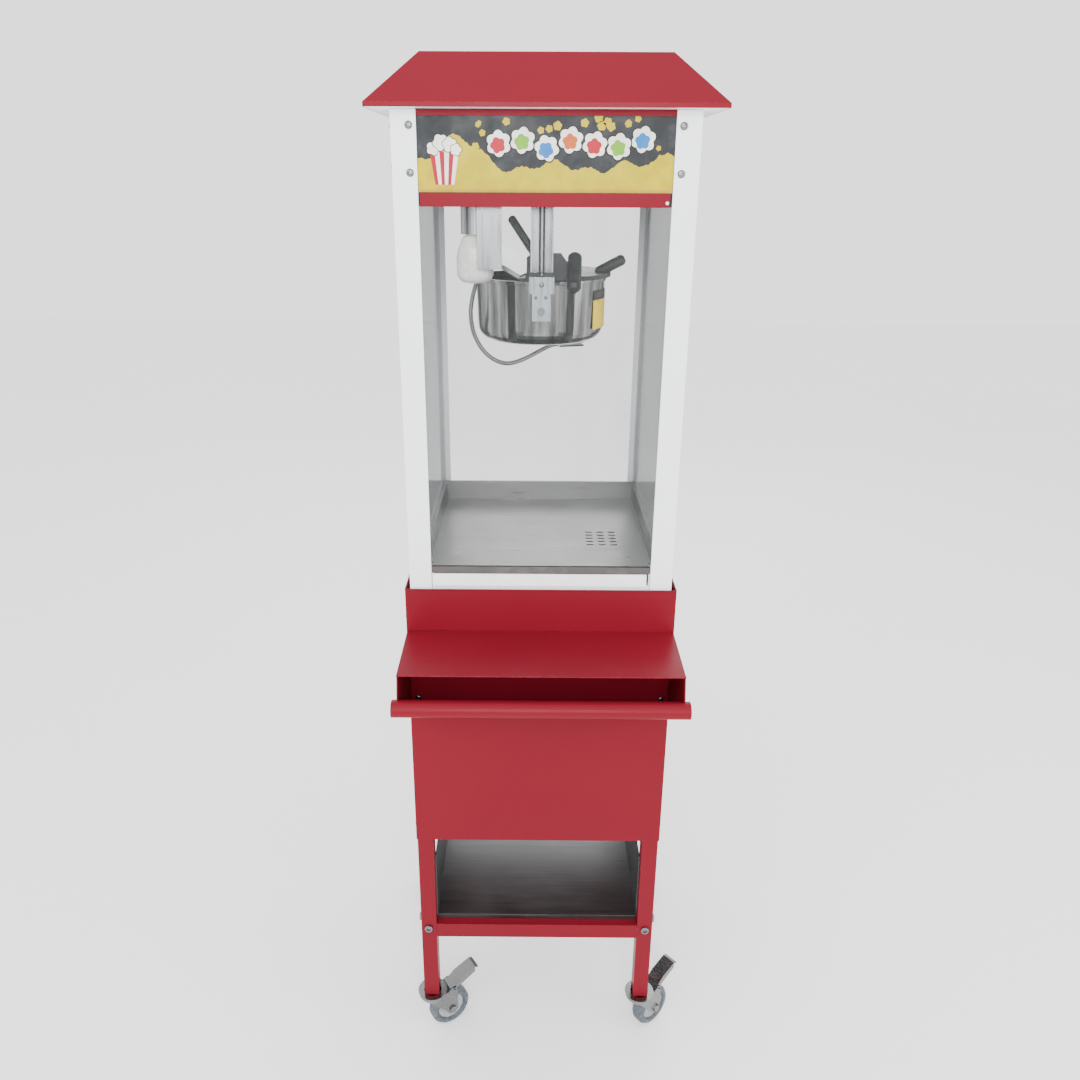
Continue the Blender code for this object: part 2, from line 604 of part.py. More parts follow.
def make_kettle(datum):
    """Kettle that tilts on the gear head's hollow pin, with its stirrer and its two hinged lids."""
    pivot = empty("kettle_pivot", (KETTLE_X, 0, PIVOT_Z), datum)
    low, rim = KETTLE_LOW - PIVOT_Z, KETTLE_RIM - PIVOT_Z
    wall, corner = KETTLE_WALL, 0.022
    bead = 0.0022
    side = KETTLE_R - bead
    outer = [(KETTLE_R, rim), (KETTLE_R, rim - 2 * bead), (side, rim - 2.4 * bead)]
    outer += [(side - 0.002 + x, z) for x, z in arc((-corner, low + corner), corner, 0, -90, 6)]
    floor = [(0, low), (0, low + wall)]
    inner = [(side - 0.002 + x, z) for x, z in arc((-corner, low + corner), corner - wall, -90, 0, 6)]
    pot = turned("kettle_pot", outer + floor + inner + [(side - wall, rim)], "steel", pivot,
                 (0, KETTLE_Y, 0), 48)
    weld = pot.modifiers.new("close", "WELD")
    weld.merge_threshold = 1e-5
    boss = rod_mesh((0, HEAD_BACK + 0.001, 0), (0, 0.0935, 0), PIN_R + 0.006, sides=32)
    join(pot, boss)
    cut(pot, rod_mesh((0, 0.07, 0), (0, PIN_END + 0.0006, 0), PIN_R + 0.0004, sides=32))
    cut(pot, rod_mesh((0, 0.08, 0), (0, 0.11, 0), SHAFT_R + 0.0008))
    join(pot, rod_mesh((LEAD_ROUTE[-1][0] - KETTLE_X + 0.0010, KETTLE_Y, LEAD_ROUTE[-1][2] - PIVOT_Z),
                       (0.068, KETTLE_Y, LEAD_ROUTE[-1][2] - PIVOT_Z + 0.002), 0.0045, sides=16))
    join(pot, box_mesh((0.034, KETTLE_Y - 0.006, LEAD_ROUTE[-1][2] - PIVOT_Z),
                       (0.064, KETTLE_Y + 0.006, low + 0.001)))

    spin = empty("stirrer_axis", (0, KETTLE_Y, 0), pivot)
    stirrer = add("stirrer", rod_mesh((0, 0, low + wall + 0.001), (0, 0, -0.016), 0.0045), "steel", spin)
    join(stirrer, rod_mesh((0, 0, -0.0255), (0, 0, -0.0135), 0.012, 0.0045))
    for direction in (1, -1):
        tip = (direction * 0.080, direction * 0.012, low + wall + 0.0045)
        join(stirrer, rod_mesh((0, 0, low + wall + 0.0045), tip, 0.003, sides=12))
    make_lids(pivot, rim)


def half_disc(radius, cut_x, steps=20):
    """The part of a disc beyond a straight edge at cut_x."""
    angle = math.degrees(math.acos(cut_x / radius))
    return arc((0, 0), radius, -angle, angle, steps)


def make_lids(pivot, rim):
    """Fixed bridge across the kettle with its bracket, grip and lever, and a hinged half lid each side."""
    frame = empty("kettle_rim", (0, KETTLE_Y, rim), pivot)
    bridge = add("lid_bridge", box_mesh((-0.0150, -0.0990, GAP), (0.0150, 0.0990, 0.0050)),
                 "black_plastic", frame, rotation=(0, 0, LID_TURN), smooth=False)
    bracket = [(-0.0210, 0.0030), (0.0390, 0.0030), (0.0390, 0.0240), (0.0270, 0.0400), (-0.0130, 0.0400),
               (-0.0210, 0.0340)]
    join(bridge, prism_mesh([bracket], -0.1075, -0.1020, FACING))
    join(bridge, box_mesh((-0.0230, -0.1030, 0.0012), (-0.0060, -0.0940, 0.0120)))
    join(bridge, capsule_mesh((0.0470, -0.0960, 0.0370), (0.0440, -0.1470, -0.0060), GRIP_R))
    join(bridge, rod_mesh((0.0300, -0.1045, 0.0250), (0.0450, -0.1045, 0.0290), 0.0026, sides=12))
    join(bridge, capsule_mesh((-0.0020, -0.1030, 0.0270), (-0.0440, -0.0900, 0.0870), 0.0058))

    turned_frame = empty("lid_datum", (0, 0, 0), frame, LID_TURN)
    for side, name, opened in ((-1, "lid_left", LID_OPEN), (1, "lid_right", 0.0)):
        hinge = empty(name + "_hinge", (side * LID_HINGE_X, 0, LID_HINGE_Z), turned_frame)
        hinge.rotation_euler = (0, opened, 0)
        outline = [(side * (x - LID_HINGE_X), y) for x, y in half_disc(0.1060, LID_HINGE_X + 0.0006)]
        lid = add(name, prism_mesh([outline], GAP * 2 - LID_HINGE_Z, 0.0068 - LID_HINGE_Z),
                  "steel" if side < 0 else "black_plastic", hinge, smooth=False)
        notch = [(side * x, y) for x, y in rectangle(-0.0020, 0.0480, -0.1080, -0.0790)]
        cut(lid, prism_mesh([notch], -0.02, 0.02))
        if side > 0:
            join(lid, capsule_mesh((0.0680, 0, -0.0010), (0.1100, 0, 0.0210), 0.0080))


# The flexible conduit hangs from the ceiling plate, dips below the kettle and rises to its underside.


def smooth_route(route, spacing):
    """Points about a spacing apart along one smooth curve through the route."""
    points = [Vector(point) for point in route]
    ends = [2 * points[0] - points[1], *points, 2 * points[-1] - points[-2]]
    dense = []
    for before, start, end, after in zip(ends, ends[1:], ends[2:], ends[3:]):
        for step in range(12):
            t = step / 12
            dense.append(0.5 * (2 * start + (end - before) * t
                                + (2 * before - 5 * start + 4 * end - after) * t * t
                                + (3 * start - before - 3 * end + after) * t ** 3))
    dense.append(points[-1])
    total = sum((b - a).length for a, b in zip(dense, dense[1:]))
    count = round(total / spacing)
    found, walked, target = [dense[0]], 0.0, total / count
    for a, b in zip(dense, dense[1:]):
        walked += (b - a).length
        if walked >= target and len(found) < count:
            found.append(b)
            target += total / count
    return [*found, dense[-1]]


def make_lead(datum):
    """The kettle's heater lead, in flexible conduit."""
    path = bpy.data.curves.new("kettle_lead", "CURVE")
    path.dimensions = "3D"
    path.bevel_depth = LEAD_R
    path.bevel_resolution = 2
    path.use_fill_caps = True
    spline = path.splines.new("POLY")
    points = smooth_route(LEAD_ROUTE, 2.5 * LEAD_R * 2)
    spline.points.add(len(points) - 1)
    for knot, point in zip(spline.points, points):
        knot.co = (*point, 1)
    lead = bpy.data.objects.new("kettle_lead", path)
    lead.parent = datum
    path.materials.append(finish("steel"))
    PARTS.objects.link(lead)


def make_lamp(datum):
    """Warming lamp: holder and shield hung from the ceiling plate, and a bulb pointing down."""
    holder = add("lamp_holder", box_mesh((LAMP_X - 0.022, 0.028, CEILING - GAP - 0.0015),
                                         (-0.057, LAMP_Y + 0.022, CEILING - GAP)), "steel", datum)
    join(holder, box_mesh((-0.0905, 0.028, 1.3620), (-0.0570, 0.0292, CEILING - GAP)))
    join(holder, rod_mesh((LAMP_X, LAMP_Y, 1.4060), (LAMP_X, LAMP_Y, CEILING - 0.0010), 0.0190, sides=32))
    cut(holder, rod_mesh((LAMP_X, LAMP_Y, 1.3960), (LAMP_X, LAMP_Y, 1.4350), 0.0140, sides=32))
    bulb = [(0.0, 0.030), (0.0125, 0.030), (0.0125, 0.0), (0.0165, -0.003), (0.0225, -0.016),
            (0.0255, -0.030)]
    bulb += [(0.0115 + x, -0.0490 + z) for x, z in arc((0, 0), 0.0140, 0, -90, 5)]
    bulb += [(0.0, -0.0635)]
    turned("lamp_bulb", bulb, "lamp_white", datum, (LAMP_X, LAMP_Y, 1.4045), 24)


# ---------------------------------------------------------------- cart

def make_cart_body(datum):
    """Sheet box round the cart's legs: front, sides and a low rim round the popper, open at the rear."""
    inner = SHEET
    outer = rectangle(-CART_HALF, CART_HALF, CART_FRONT, CART_BACK)
    hollow = rectangle(-CART_HALF + inner, CART_HALF - inner, CART_FRONT + inner, CART_BACK - inner)
    body = add("cart_body", prism_mesh([outer, hollow], CART_LOW, RIM_TOP), "red_paint", datum, smooth=False)
    fold = LEG + 0.003
    wide = CART_HALF - inner
    reach = wide + inner / 2
    low_y, high_y = CART_FRONT + inner / 2, CART_BACK - inner / 2
    for x, y in ((reach, fold), (wide - fold, inner / 2)):
        join(body, box_mesh((-x, low_y + y - inner / 2, CART_LOW + 0.0010),
                            (x, high_y - y + inner / 2, CART_LOW + 0.0010 + SHEET)))
    cut(body, box_mesh((-wide + 0.036, CART_BACK - 0.01, CABINET_LOW),
                       (wide - 0.036, CART_BACK + 0.01, CABINET_TOP)))

    half = wide - GAP
    add("machine_deck", box_mesh((-half, CART_FRONT + inner + GAP, DECK_TOP - SHEET),
                                 (half, CART_BACK - inner - GAP, DECK_TOP)),
               "grey_plate", datum, smooth=False)


def make_frame(datum):
    """Four square-tube legs, the two lower rails and the shelf pan that rests on them."""
    for side, x_name in ((-1, "left"), (1, "right")):
        for low_y, y_name in ((LEG_FRONT, "front"), (LEG_BACK - LEG, "rear")):
            x = sorted((side * LEG_HALF, side * (LEG_HALF - LEG)))
            outer = rectangle(x[0], x[1], low_y, low_y + LEG)
            hollow = rectangle(x[0] + LEG_WALL, x[1] - LEG_WALL, low_y + LEG_WALL, low_y + LEG - LEG_WALL)
            add(f"leg_{y_name}_{x_name}", prism_mesh([outer, hollow], LEG_LOW, DECK_TOP - SHEET - GAP),
                "red_paint", datum, smooth=False)

    half = LEG_HALF - LEG - GAP
    for low_y, name in ((LEG_FRONT, "rail_front"), (LEG_BACK - LEG, "rail_rear")):
        outer = rectangle(low_y, low_y + LEG, RAIL_LOW, RAIL_TOP)
        hollow = rectangle(low_y + LEG_WALL, low_y + LEG - LEG_WALL, RAIL_LOW + LEG_WALL, RAIL_TOP - LEG_WALL)
        add(name, prism_mesh([outer, hollow], -half, half, ACROSS), "red_paint", datum, smooth=False)

    front, back = 0.0120, LEG_BACK - 0.0150
    profile = strip([(-PAN_HALF, PAN_FLANGE_TOP), (-PAN_HALF, PAN_TOP - SHEET), (PAN_HALF, PAN_TOP - SHEET),
                     (PAN_HALF, PAN_FLANGE_TOP)], SHEET)
    pan = add("shelf_pan", prism_mesh([profile], front, back, FACING), "grey_plate", datum, smooth=False)
    for y in (front, back - SHEET):
        join(pan, box_mesh((-PAN_HALF + 0.001, y, RAIL_TOP + GAP),
                           (PAN_HALF - 0.001, y + SHEET, PAN_TOP - 0.0004)))


def make_serving_shelf(datum):
    """Serving shelf: a flat top plate over a trough whose rounded front edge carries past both ends."""
    back = CART_FRONT - GAP
    wall = 0.0015
    nose_y, nose_z, nose_r = -0.1480, 0.7820, 0.0120
    path = [(-SHELF_REACH, SHELF_TOP - SHELF_DROP), (back, SHELF_TOP), (back, SHELF_LOW),
            (nose_y + 0.006, nose_z - 0.0150)]
    inside = strip(path, -wall / 2)[len(path):][::-1]
    shelf = add("serving_shelf", prism_mesh([strip(path, -wall)], -SHELF_HALF, SHELF_HALF, ACROSS),
                "red_paint", datum, smooth=False)
    cheek = [*inside, (nose_y + 0.0005, nose_z + 0.010)]
    for side in (-1, 1):
        x = sorted((side * (SHELF_HALF - 0.0005), side * (SHELF_HALF - 0.0005 - wall)))
        join(shelf, prism_mesh([cheek], x[0], x[1], ACROSS))
    rolled = arc((nose_y, nose_z), nose_r, 75, 285, 12)
    rolled += [(nose_y + 0.0090, nose_z - 0.0140), (nose_y + 0.0090, nose_z + 0.0100)]
    join(shelf, prism_mesh([rolled], -SHELF_RAIL_HALF, SHELF_RAIL_HALF, ACROSS))


# ---------------------------------------------------------------- casters

def make_caster(datum, name, angle):
    """Swivel caster: bearing bowl and fork, wheel on its axle, and a brake pedal on the front ones."""
    side = -1 if "left" in name else 1
    y = LEG_FRONT + LEG / 2 if "front" in name else LEG_BACK - LEG / 2
    swivel = empty(f"caster_{name}_swivel", (side * (LEG_HALF - LEG / 2), y, 0), datum, angle)
    top = LEG_LOW - GAP
    bowl = [(0, top), (0.0160, top), (0.0235, top - 0.0030), (0.0250, top - 0.0070), (0.0235, top - 0.0105),
            (0.0190, top - 0.0120), (0, top - 0.0120)]
    fork = turned(f"caster_{name}_fork", bowl, "zinc", swivel, (0, 0, 0), 24)
    inner = WHEEL_WIDTH / 2 + 0.0015
    cheek = [(-0.0180, top - 0.0085), (0.0240, top - 0.0085)]
    if name in BRAKED:
        cheek += [(PEDAL_PIN_X - 0.0035, PEDAL_PIN_Z + 0.0040), (PEDAL_PIN_X + 0.0030, PEDAL_PIN_Z + 0.0040),
                  (PEDAL_PIN_X + 0.0050, PEDAL_PIN_Z - 0.0040)]
    cheek += [(CASTER_TRAIL + 0.0110, WHEEL_R + 0.006)]
    cheek += arc((CASTER_TRAIL, WHEEL_R), 0.0110, 0, -170, 8)
    for near in (-1, 1):
        low, high = sorted((near * inner, near * (inner + FORK_WALL)))
        join(fork, prism_mesh([cheek], low, high, FACING))
    reach = inner + FORK_WALL + 0.0040
    join(fork, rod_mesh((CASTER_TRAIL, -reach, WHEEL_R), (CASTER_TRAIL, reach, WHEEL_R), AXLE_R, sides=16))
    if name in BRAKED:
        join(fork, rod_mesh((PEDAL_PIN_X, 0.0010 - reach, PEDAL_PIN_Z),
                            (PEDAL_PIN_X, reach - 0.0010, PEDAL_PIN_Z),
                            PEDAL_PIN_R, sides=16))

    axle = empty(f"caster_{name}_axle", (CASTER_TRAIL, 0, WHEEL_R), swivel)
    half = WHEEL_WIDTH / 2
    bore = AXLE_R + 0.0005
    tread = [(WHEEL_R, half - 0.0050), (WHEEL_R, -half + 0.0050), (WHEEL_R - 0.0040, -half), (0.0275, -half)]
    hub = [(0.0250, -half + 0.0040), (0.0120, -half + 0.0040), (0.0105, -half), (bore, -half)]
    lower = tread + hub
    mirrored = [(radius, -height) for radius, height in reversed(lower)]
    turned(f"caster_{name}_wheel", lower[1:] + mirrored[:-1] + [lower[0]], "tyre", axle, (0, 0, 0), 32,
           (math.radians(90), 0, 0))
    if name in BRAKED:
        make_pedal(swivel, name)


def make_pedal(swivel, name):
    """Folded sheet brake pedal, pinned across the fork above the wheel."""
    pin = empty(f"caster_{name}_pedal_pin", (PEDAL_PIN_X, 0, PEDAL_PIN_Z), swivel)
    profile = [(-0.0080, 0.0015), (0.0040, 0.0060), (0.0140, 0.0150), (0.0440, 0.0270), (0.0500, 0.0250)]
    pedal = add(f"caster_{name}_pedal", prism_mesh([strip(profile, 0.0020)], -0.0130, 0.0130, FACING),
                "zinc", pin, smooth=False)
    flange = [(-0.0080, 0.0025), (0.0040, 0.0070), (0.0140, 0.0160), (0.0440, 0.0280), (0.0440, 0.0180),
              (0.0160, 0.0040), (0.0020, -0.0030), (-0.0080, -0.0030)]
    hole = arc((0, 0), PEDAL_PIN_R + 0.0004, 0, 337.5, 15)
    for near in (-1, 1):
        low, high = sorted((near * 0.0130, near * 0.0115))
        join(pedal, prism_mesh([flange, hole], low, high, FACING))


# ---------------------------------------------------------------- assembly

def centre_on_floor(datum):
    """Moves the datum so that the bottom centre of the object's box is the world origin."""
    bpy.context.view_layer.update()
    graph = bpy.context.evaluated_depsgraph_get()
    corners = []
    for part in PARTS.objects:
        if part.type == "EMPTY":
            continue
        shape = part.evaluated_get(graph)
        mesh = shape.to_mesh()
        corners += [shape.matrix_world @ vertex.co for vertex in mesh.vertices]
        shape.to_mesh_clear()
    for axis in (0, 1):
        values = [corner[axis] for corner in corners]
        datum.location[axis] = -(min(values) + max(values)) / 2
    datum.location.z = -min(corner.z for corner in corners)


def main():
    datum = empty("cart_datum", (0, 0, 0))
    make_roof(datum)
    make_header(datum)
    make_switches(datum)
    make_gland(datum)
    make_posts(datum)
    make_glass(datum)
    make_base(datum)
    make_drawer(datum)
    make_door(datum)
    make_hanger(datum)
    make_kettle(datum)
    make_lead(datum)
    make_lamp(datum)
    make_cart_body(datum)
    make_frame(datum)
    make_serving_shelf(datum)
    for name, angle in CASTERS.items():
        make_caster(datum, name, angle)
    centre_on_floor(datum)


main()
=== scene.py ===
"""Looks of the popcorn cart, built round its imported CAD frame. Metres, +Z up.

Places are written in the design frame (X = 0 the middle of the popper, Y = 0 the front face of its
posts, Z = 0 the floor), and at() moves them into the row frame.
"""
import json
import math
import random

import bmesh
import bpy
from mathutils import Matrix, Vector


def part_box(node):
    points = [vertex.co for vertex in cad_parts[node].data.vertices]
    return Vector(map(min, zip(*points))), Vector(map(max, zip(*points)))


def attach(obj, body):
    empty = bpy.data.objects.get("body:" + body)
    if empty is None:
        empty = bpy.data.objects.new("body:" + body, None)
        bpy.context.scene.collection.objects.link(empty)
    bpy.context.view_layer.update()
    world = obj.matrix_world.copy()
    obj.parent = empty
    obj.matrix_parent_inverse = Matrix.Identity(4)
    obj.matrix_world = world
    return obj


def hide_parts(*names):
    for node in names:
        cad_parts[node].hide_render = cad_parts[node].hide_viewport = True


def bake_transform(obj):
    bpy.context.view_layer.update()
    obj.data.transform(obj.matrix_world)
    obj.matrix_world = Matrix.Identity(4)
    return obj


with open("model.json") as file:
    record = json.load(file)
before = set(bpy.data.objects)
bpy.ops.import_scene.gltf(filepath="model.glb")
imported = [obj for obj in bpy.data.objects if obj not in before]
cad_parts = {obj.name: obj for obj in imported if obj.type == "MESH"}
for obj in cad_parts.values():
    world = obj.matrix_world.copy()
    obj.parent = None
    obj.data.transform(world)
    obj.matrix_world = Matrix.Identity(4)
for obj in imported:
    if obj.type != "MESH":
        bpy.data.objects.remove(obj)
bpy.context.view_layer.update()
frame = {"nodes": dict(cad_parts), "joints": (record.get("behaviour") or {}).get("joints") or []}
NODES = frame["nodes"]

# Driving places, in the design frame
POST_X = 0.1965              # outer faces of the posts
POST_BACK = 0.372            # rear faces of the posts
KETTLE_X, KETTLE_Y = -0.003, 0.185
SWITCHES = (("motor", -0.070), ("heater", 0.0), ("lamp", 0.070))
SWITCH_Z = 1.500
LEG_Y = (0.0103, 0.3657)     # middles of the front and rear legs

POST_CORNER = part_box("post_front_left")[0]
SHIFT = Vector((POST_CORNER.x + POST_X, POST_CORNER.y, 0.0))


def at(x, y, z):
    """A design frame point in the row frame."""
    return Vector((x, y, z)) + SHIFT


# ---------------------------------------------------------------- camera

CAMERA_PLACE = (-0.0181, -1.2691, 1.478)
CAMERA_LENS = 30.81
CAMERA_SHIFT = 0.0137
CAMERA_TILT, CAMERA_YAW, CAMERA_ROLL = 21.41, 0.254, 0.286


def make_camera():
    """The camera, looking down at the front of the cart."""
    tilt, yaw, roll = (math.radians(angle) for angle in (CAMERA_TILT, CAMERA_YAW, CAMERA_ROLL))
    right = Vector((math.cos(yaw), math.sin(yaw), 0))
    level = Vector((-math.sin(yaw), math.cos(yaw), 0))
    forward = level * math.cos(tilt) - Vector((0, 0, math.sin(tilt)))
    up = level * math.sin(tilt) + Vector((0, 0, math.cos(tilt)))
    turned_right = right * math.cos(roll) + up * math.sin(roll)
    turned_up = up * math.cos(roll) - right * math.sin(roll)
    data = bpy.data.cameras.new("camera")
    data.sensor_width = 36.0
    data.lens = CAMERA_LENS
    data.shift_x = CAMERA_SHIFT
    camera = bpy.data.objects.new("camera", data)
    turn = Matrix((turned_right, turned_up, -forward)).transposed().to_4x4()
    camera.matrix_world = Matrix.Translation(at(*CAMERA_PLACE)) @ turn
    bpy.context.scene.collection.objects.link(camera)
    bpy.context.scene.camera = camera


make_camera()


# ---------------------------------------------------------------- materials

class Look:
    """A Principled material and the nodes that feed it."""

    def __init__(self, name, **constants):
        self.material = bpy.data.materials.new(name)
        self.material.use_nodes = True
        self.tree = self.material.node_tree
        self.shader = self.tree.nodes["Principled BSDF"]
        for socket, value in constants.items():
            self.shader.inputs[socket.replace("_", " ")].default_value = value
        self.place = self.node("ShaderNodeTexCoord").outputs["Object"]

    def node(self, kind, **settings):
        made = self.tree.nodes.new(kind)
        for key, value in settings.items():
            setattr(made, key, value)
        return made

    def feed(self, socket, value):
        if isinstance(value, bpy.types.NodeSocket):
            self.tree.links.new(value, socket)
        else:
            socket.default_value = value

    def to(self, name, value):
        self.feed(self.shader.inputs[name], value)
        return self

    def noise(self, scale, detail=3.0, stretch=(1, 1, 1), place=None):
        mapping = self.node("ShaderNodeMapping")
        mapping.inputs["Scale"].default_value = stretch
        self.feed(mapping.inputs["Vector"], place or self.place)
        made = self.node("ShaderNodeTexNoise")
        made.inputs["Scale"].default_value = scale
        made.inputs["Detail"].default_value = detail
        self.feed(made.inputs["Vector"], mapping.outputs["Vector"])
        return made.outputs["Fac"]

    def spread(self, value, low, high, start=0.35, end=0.65):
        made = self.node("ShaderNodeMapRange")
        for name, number in (("From Min", start), ("From Max", end), ("To Min", low), ("To Max", high)):
            made.inputs[name].default_value = number
        self.feed(made.inputs["Value"], value)
        return made.outputs["Result"]

    def math(self, operation, first, second=0.0):
        made = self.node("ShaderNodeMath", operation=operation)
        self.feed(made.inputs[0], first)
        self.feed(made.inputs[1], second)
        return made.outputs[0]

    def vector(self, operation, first, second=None):
        made = self.node("ShaderNodeVectorMath", operation=operation)
        self.feed(made.inputs[0], first)
        if second is not None:
            self.feed(made.inputs[1], second)
        return made

    def mix(self, factor, first, second):
        made = self.node("ShaderNodeMix", data_type="RGBA")
        self.feed(made.inputs["Factor"], factor)
        for socket, value in ((made.inputs[6], first), (made.inputs[7], second)):
            self.feed(socket, (*value, 1.0) if isinstance(value, tuple) else value)
        return made.outputs[2]

    def relief(self, height, strength, distance, radius=0.0):
        """A bump, over softened edges where a radius is given."""
        made = self.node("ShaderNodeBump")
        made.inputs["Strength"].default_value = strength
        made.inputs["Distance"].default_value = distance
        self.feed(made.inputs["Height"], height)
        if radius:
            soft = self.node("ShaderNodeBevel", samples=4)
            soft.inputs["Radius"].default_value = radius
            self.feed(made.inputs["Normal"], soft.outputs["Normal"])
        return self.to("Normal", made.outputs["Normal"])

    def edges(self, radius):
        """1 along edges and 0 on flats."""
        soft = self.node("ShaderNodeBevel", samples=4)
        soft.inputs["Radius"].default_value = radius
        flat = self.node("ShaderNodeNewGeometry").outputs["Normal"]
        return self.spread(self.vector("DOT_PRODUCT", soft.outputs["Normal"], flat).outputs["Value"],
                           1.0, 0.0, 0.90, 0.995)


def shade(colour, factor):
    """The colour made darker or lighter."""
    return tuple(min(1.0, part * factor) for part in colour)


def paint(name, colour, worn, rough=(0.32, 0.40), gloss=0.4):
    """Powder coat: orange peel, uneven gloss, faint drifts of tone and rubbed edges."""
    look = Look(name, Specular_IOR_Level=gloss)
    tone = look.mix(look.spread(look.noise(3.0, 2.0), 0.0, 1.0), shade(colour, 0.96), shade(colour, 1.04))
    speck = look.spread(look.noise(420.0, 4.0), 0.0, 1.0, 0.52, 0.60)
    look.to("Base Color", look.mix(look.math("MULTIPLY", look.edges(0.0009), speck), tone, worn))
    look.to("Roughness", look.spread(look.noise(12.0, 3.0), *rough))
    return look.relief(look.noise(650.0, 2.0), 0.05, 0.0003, 0.0007).material


def metal(name, colour, rough, stretch, grain=260.0, radius=0.0004):
    """Rolled or drawn metal: grain along one direction, smears and brighter edges."""
    look = Look(name, Metallic=1.0)
    drawn = look.noise(grain, 4.0, stretch)
    smear = look.noise(14.0, 5.0)
    tone = look.math("ADD", look.math("MULTIPLY", drawn, 0.5), look.math("MULTIPLY", smear, 0.5))
    look.to("Base Color", look.mix(look.spread(tone, 0.0, 1.0), shade(colour, 0.82), shade(colour, 1.12)))
    dull = look.math("ADD", look.math("MULTIPLY", drawn, 0.6), look.math("MULTIPLY", smear, 0.4))
    look.to("Roughness", look.spread(dull, *rough))
    return look.relief(drawn, 0.12, 0.0002, radius).material


def plastic(name, colour, rough, grain=900.0, depth=0.15, gloss=0.5):
    """Moulded plastic or rubber: fine grain, uneven gloss and scuffs."""
    look = Look(name, Specular_IOR_Level=gloss)
    scuff = look.spread(look.noise(60.0, 6.0), 0.0, 1.0, 0.50, 0.72)
    look.to("Base Color", look.mix(scuff, colour, tuple(part * 1.25 + 0.012 for part in colour)))
    look.to("Roughness", look.spread(look.noise(45.0, 5.0), *rough))
    return look.relief(look.noise(grain, 2.0), depth, 0.0003, 0.0006).material


def clear(name, tint, haze):
    """A clear pane: nearly transparent, with wiped smears and Fresnel gloss."""
    look = Look(name, Base_Color=(*tint, 1.0), IOR=1.5)
    smear = look.spread(look.noise(9.0, 6.0, (1, 1, 0.35)), 0.0, haze, 0.45, 0.75)
    rim = look.node("ShaderNodeFresnel")
    rim.inputs["IOR"].default_value = 1.45
    glare = look.math("ADD", look.math("MULTIPLY", rim.outputs["Fac"], 0.9), 0.025)
    look.to("Alpha", look.math("ADD", glare, smear))
    look.to("Roughness", look.spread(look.noise(25.0, 5.0), 0.02, 0.09))
    return look.material


def polished_pot(centre):
    """Polished stainless steel: light and dark streaks painted up the wall as painted reflections, which fan
    out over its floor, with a faint relief along them.
    """
    look = Look("polished_pot", Metallic=1.0)
    away = look.vector("SUBTRACT", look.place, tuple(centre)).outputs["Vector"]
    parts = look.node("ShaderNodeSeparateXYZ")
    look.feed(parts.inputs[0], away)
    angle = look.math("ARCTAN2", parts.outputs["Y"], parts.outputs["X"])
    around = look.node("ShaderNodeCombineXYZ")
    look.feed(around.inputs["X"], angle)
    look.feed(around.inputs["Z"], look.math("MULTIPLY", parts.outputs["Z"], 0.8))
    streak_and_painted_reflection = look.noise(9.0, 5.0, place=around.outputs[0])
    fine = look.noise(70.0, 3.0, place=around.outputs[0])
    # painted reflection: the streaks lay light and dark bands into the steel's colour; they also drive the
    # relief below
    look.to("Base Color", look.mix(look.spread(streak_and_painted_reflection, 0.0, 1.0), (0.085, 0.085, 0.086), (0.30, 0.30, 0.298)))
    look.to("Roughness", look.spread(fine, 0.09, 0.24))
    return look.relief(streak_and_painted_reflection, 0.10, 0.0010, 0.0005).material


HUB_R = 0.0246


def wheel_look(name, centre, axis):
    """Rubber tyre outside the hub's radius and grey moulded hub inside it."""
    look = Look(name)
    away = look.vector("SUBTRACT", look.place, tuple(centre)).outputs["Vector"]
    radius = look.vector("LENGTH", look.vector("CROSS_PRODUCT", away, tuple(axis)).outputs["Vector"])
    hub = look.spread(radius.outputs["Value"], 1.0, 0.0, HUB_R, HUB_R + 0.0006)
    grain = look.noise(240.0, 5.0)
    tyre = look.mix(look.spread(grain, 0.0, 1.0), (0.035, 0.048, 0.058), (0.085, 0.105, 0.120))
    grey = look.mix(look.spread(grain, 0.0, 1.0), (0.20, 0.21, 0.22), (0.34, 0.35, 0.36))
    look.to("Base Color", look.mix(hub, tyre, grey))
    look.to("Roughness", look.spread(look.noise(80.0, 5.0), 0.45, 0.72))
    return look.relief(look.noise(900.0, 2.0), 0.25, 0.0003, 0.0006).material


RED = paint("red_powder_coat", (0.150, 0.0060, 0.0140), (0.26, 0.06, 0.07), gloss=0.08)
WHITE = paint("white_powder_coat", (0.84, 0.86, 0.89), (0.60, 0.61, 0.63))
CHARCOAL = plastic("sign_charcoal", (0.018, 0.020, 0.022), (0.24, 0.40), 500.0, 0.04, 0.12)
GLASS = clear("clear_glass", (0.20, 0.215, 0.215), 0.04)
ACRYLIC = clear("clear_acrylic", (0.22, 0.23, 0.23), 0.06)
SATIN = metal("satin_steel", (0.29, 0.30, 0.31), (0.22, 0.38), (1, 1, 0.04))
FLOOR_STEEL = metal("floor_steel", (0.18, 0.18, 0.178), (0.26, 0.44), (0.04, 1, 1))
# painted shade: the same satin stainless steel, coloured darker for the dark reflection of the box over the
# deck and the shelf pan
STEEL_PAINTED_SHADE = metal("shelf_steel", (0.130, 0.136, 0.138), (0.34, 0.50), (0.04, 1, 1))
BLUE_STEEL = metal("clamp_steel", (0.29, 0.32, 0.34), (0.20, 0.34), (1, 1, 0.05))
ZINC = metal("bright_zinc", (0.19, 0.194, 0.196), (0.20, 0.40), (1, 1, 1), 380.0)
CONDUIT = metal("conduit_steel", (0.20, 0.20, 0.21), (0.25, 0.42), (1, 1, 1), 700.0)
LID_STEEL = metal("lid_steel", (0.34, 0.35, 0.36), (0.14, 0.28), (1, 0.05, 1))
BLACK = plastic("black_phenolic", (0.020, 0.021, 0.022), (0.26, 0.42), gloss=0.2)
DARK_SEAL = plastic("dark_seal", (0.060, 0.054, 0.050), (0.45, 0.62), 600.0)
BULB = plastic("lamp_white", (0.80, 0.80, 0.77), (0.20, 0.34), 300.0, 0.05)


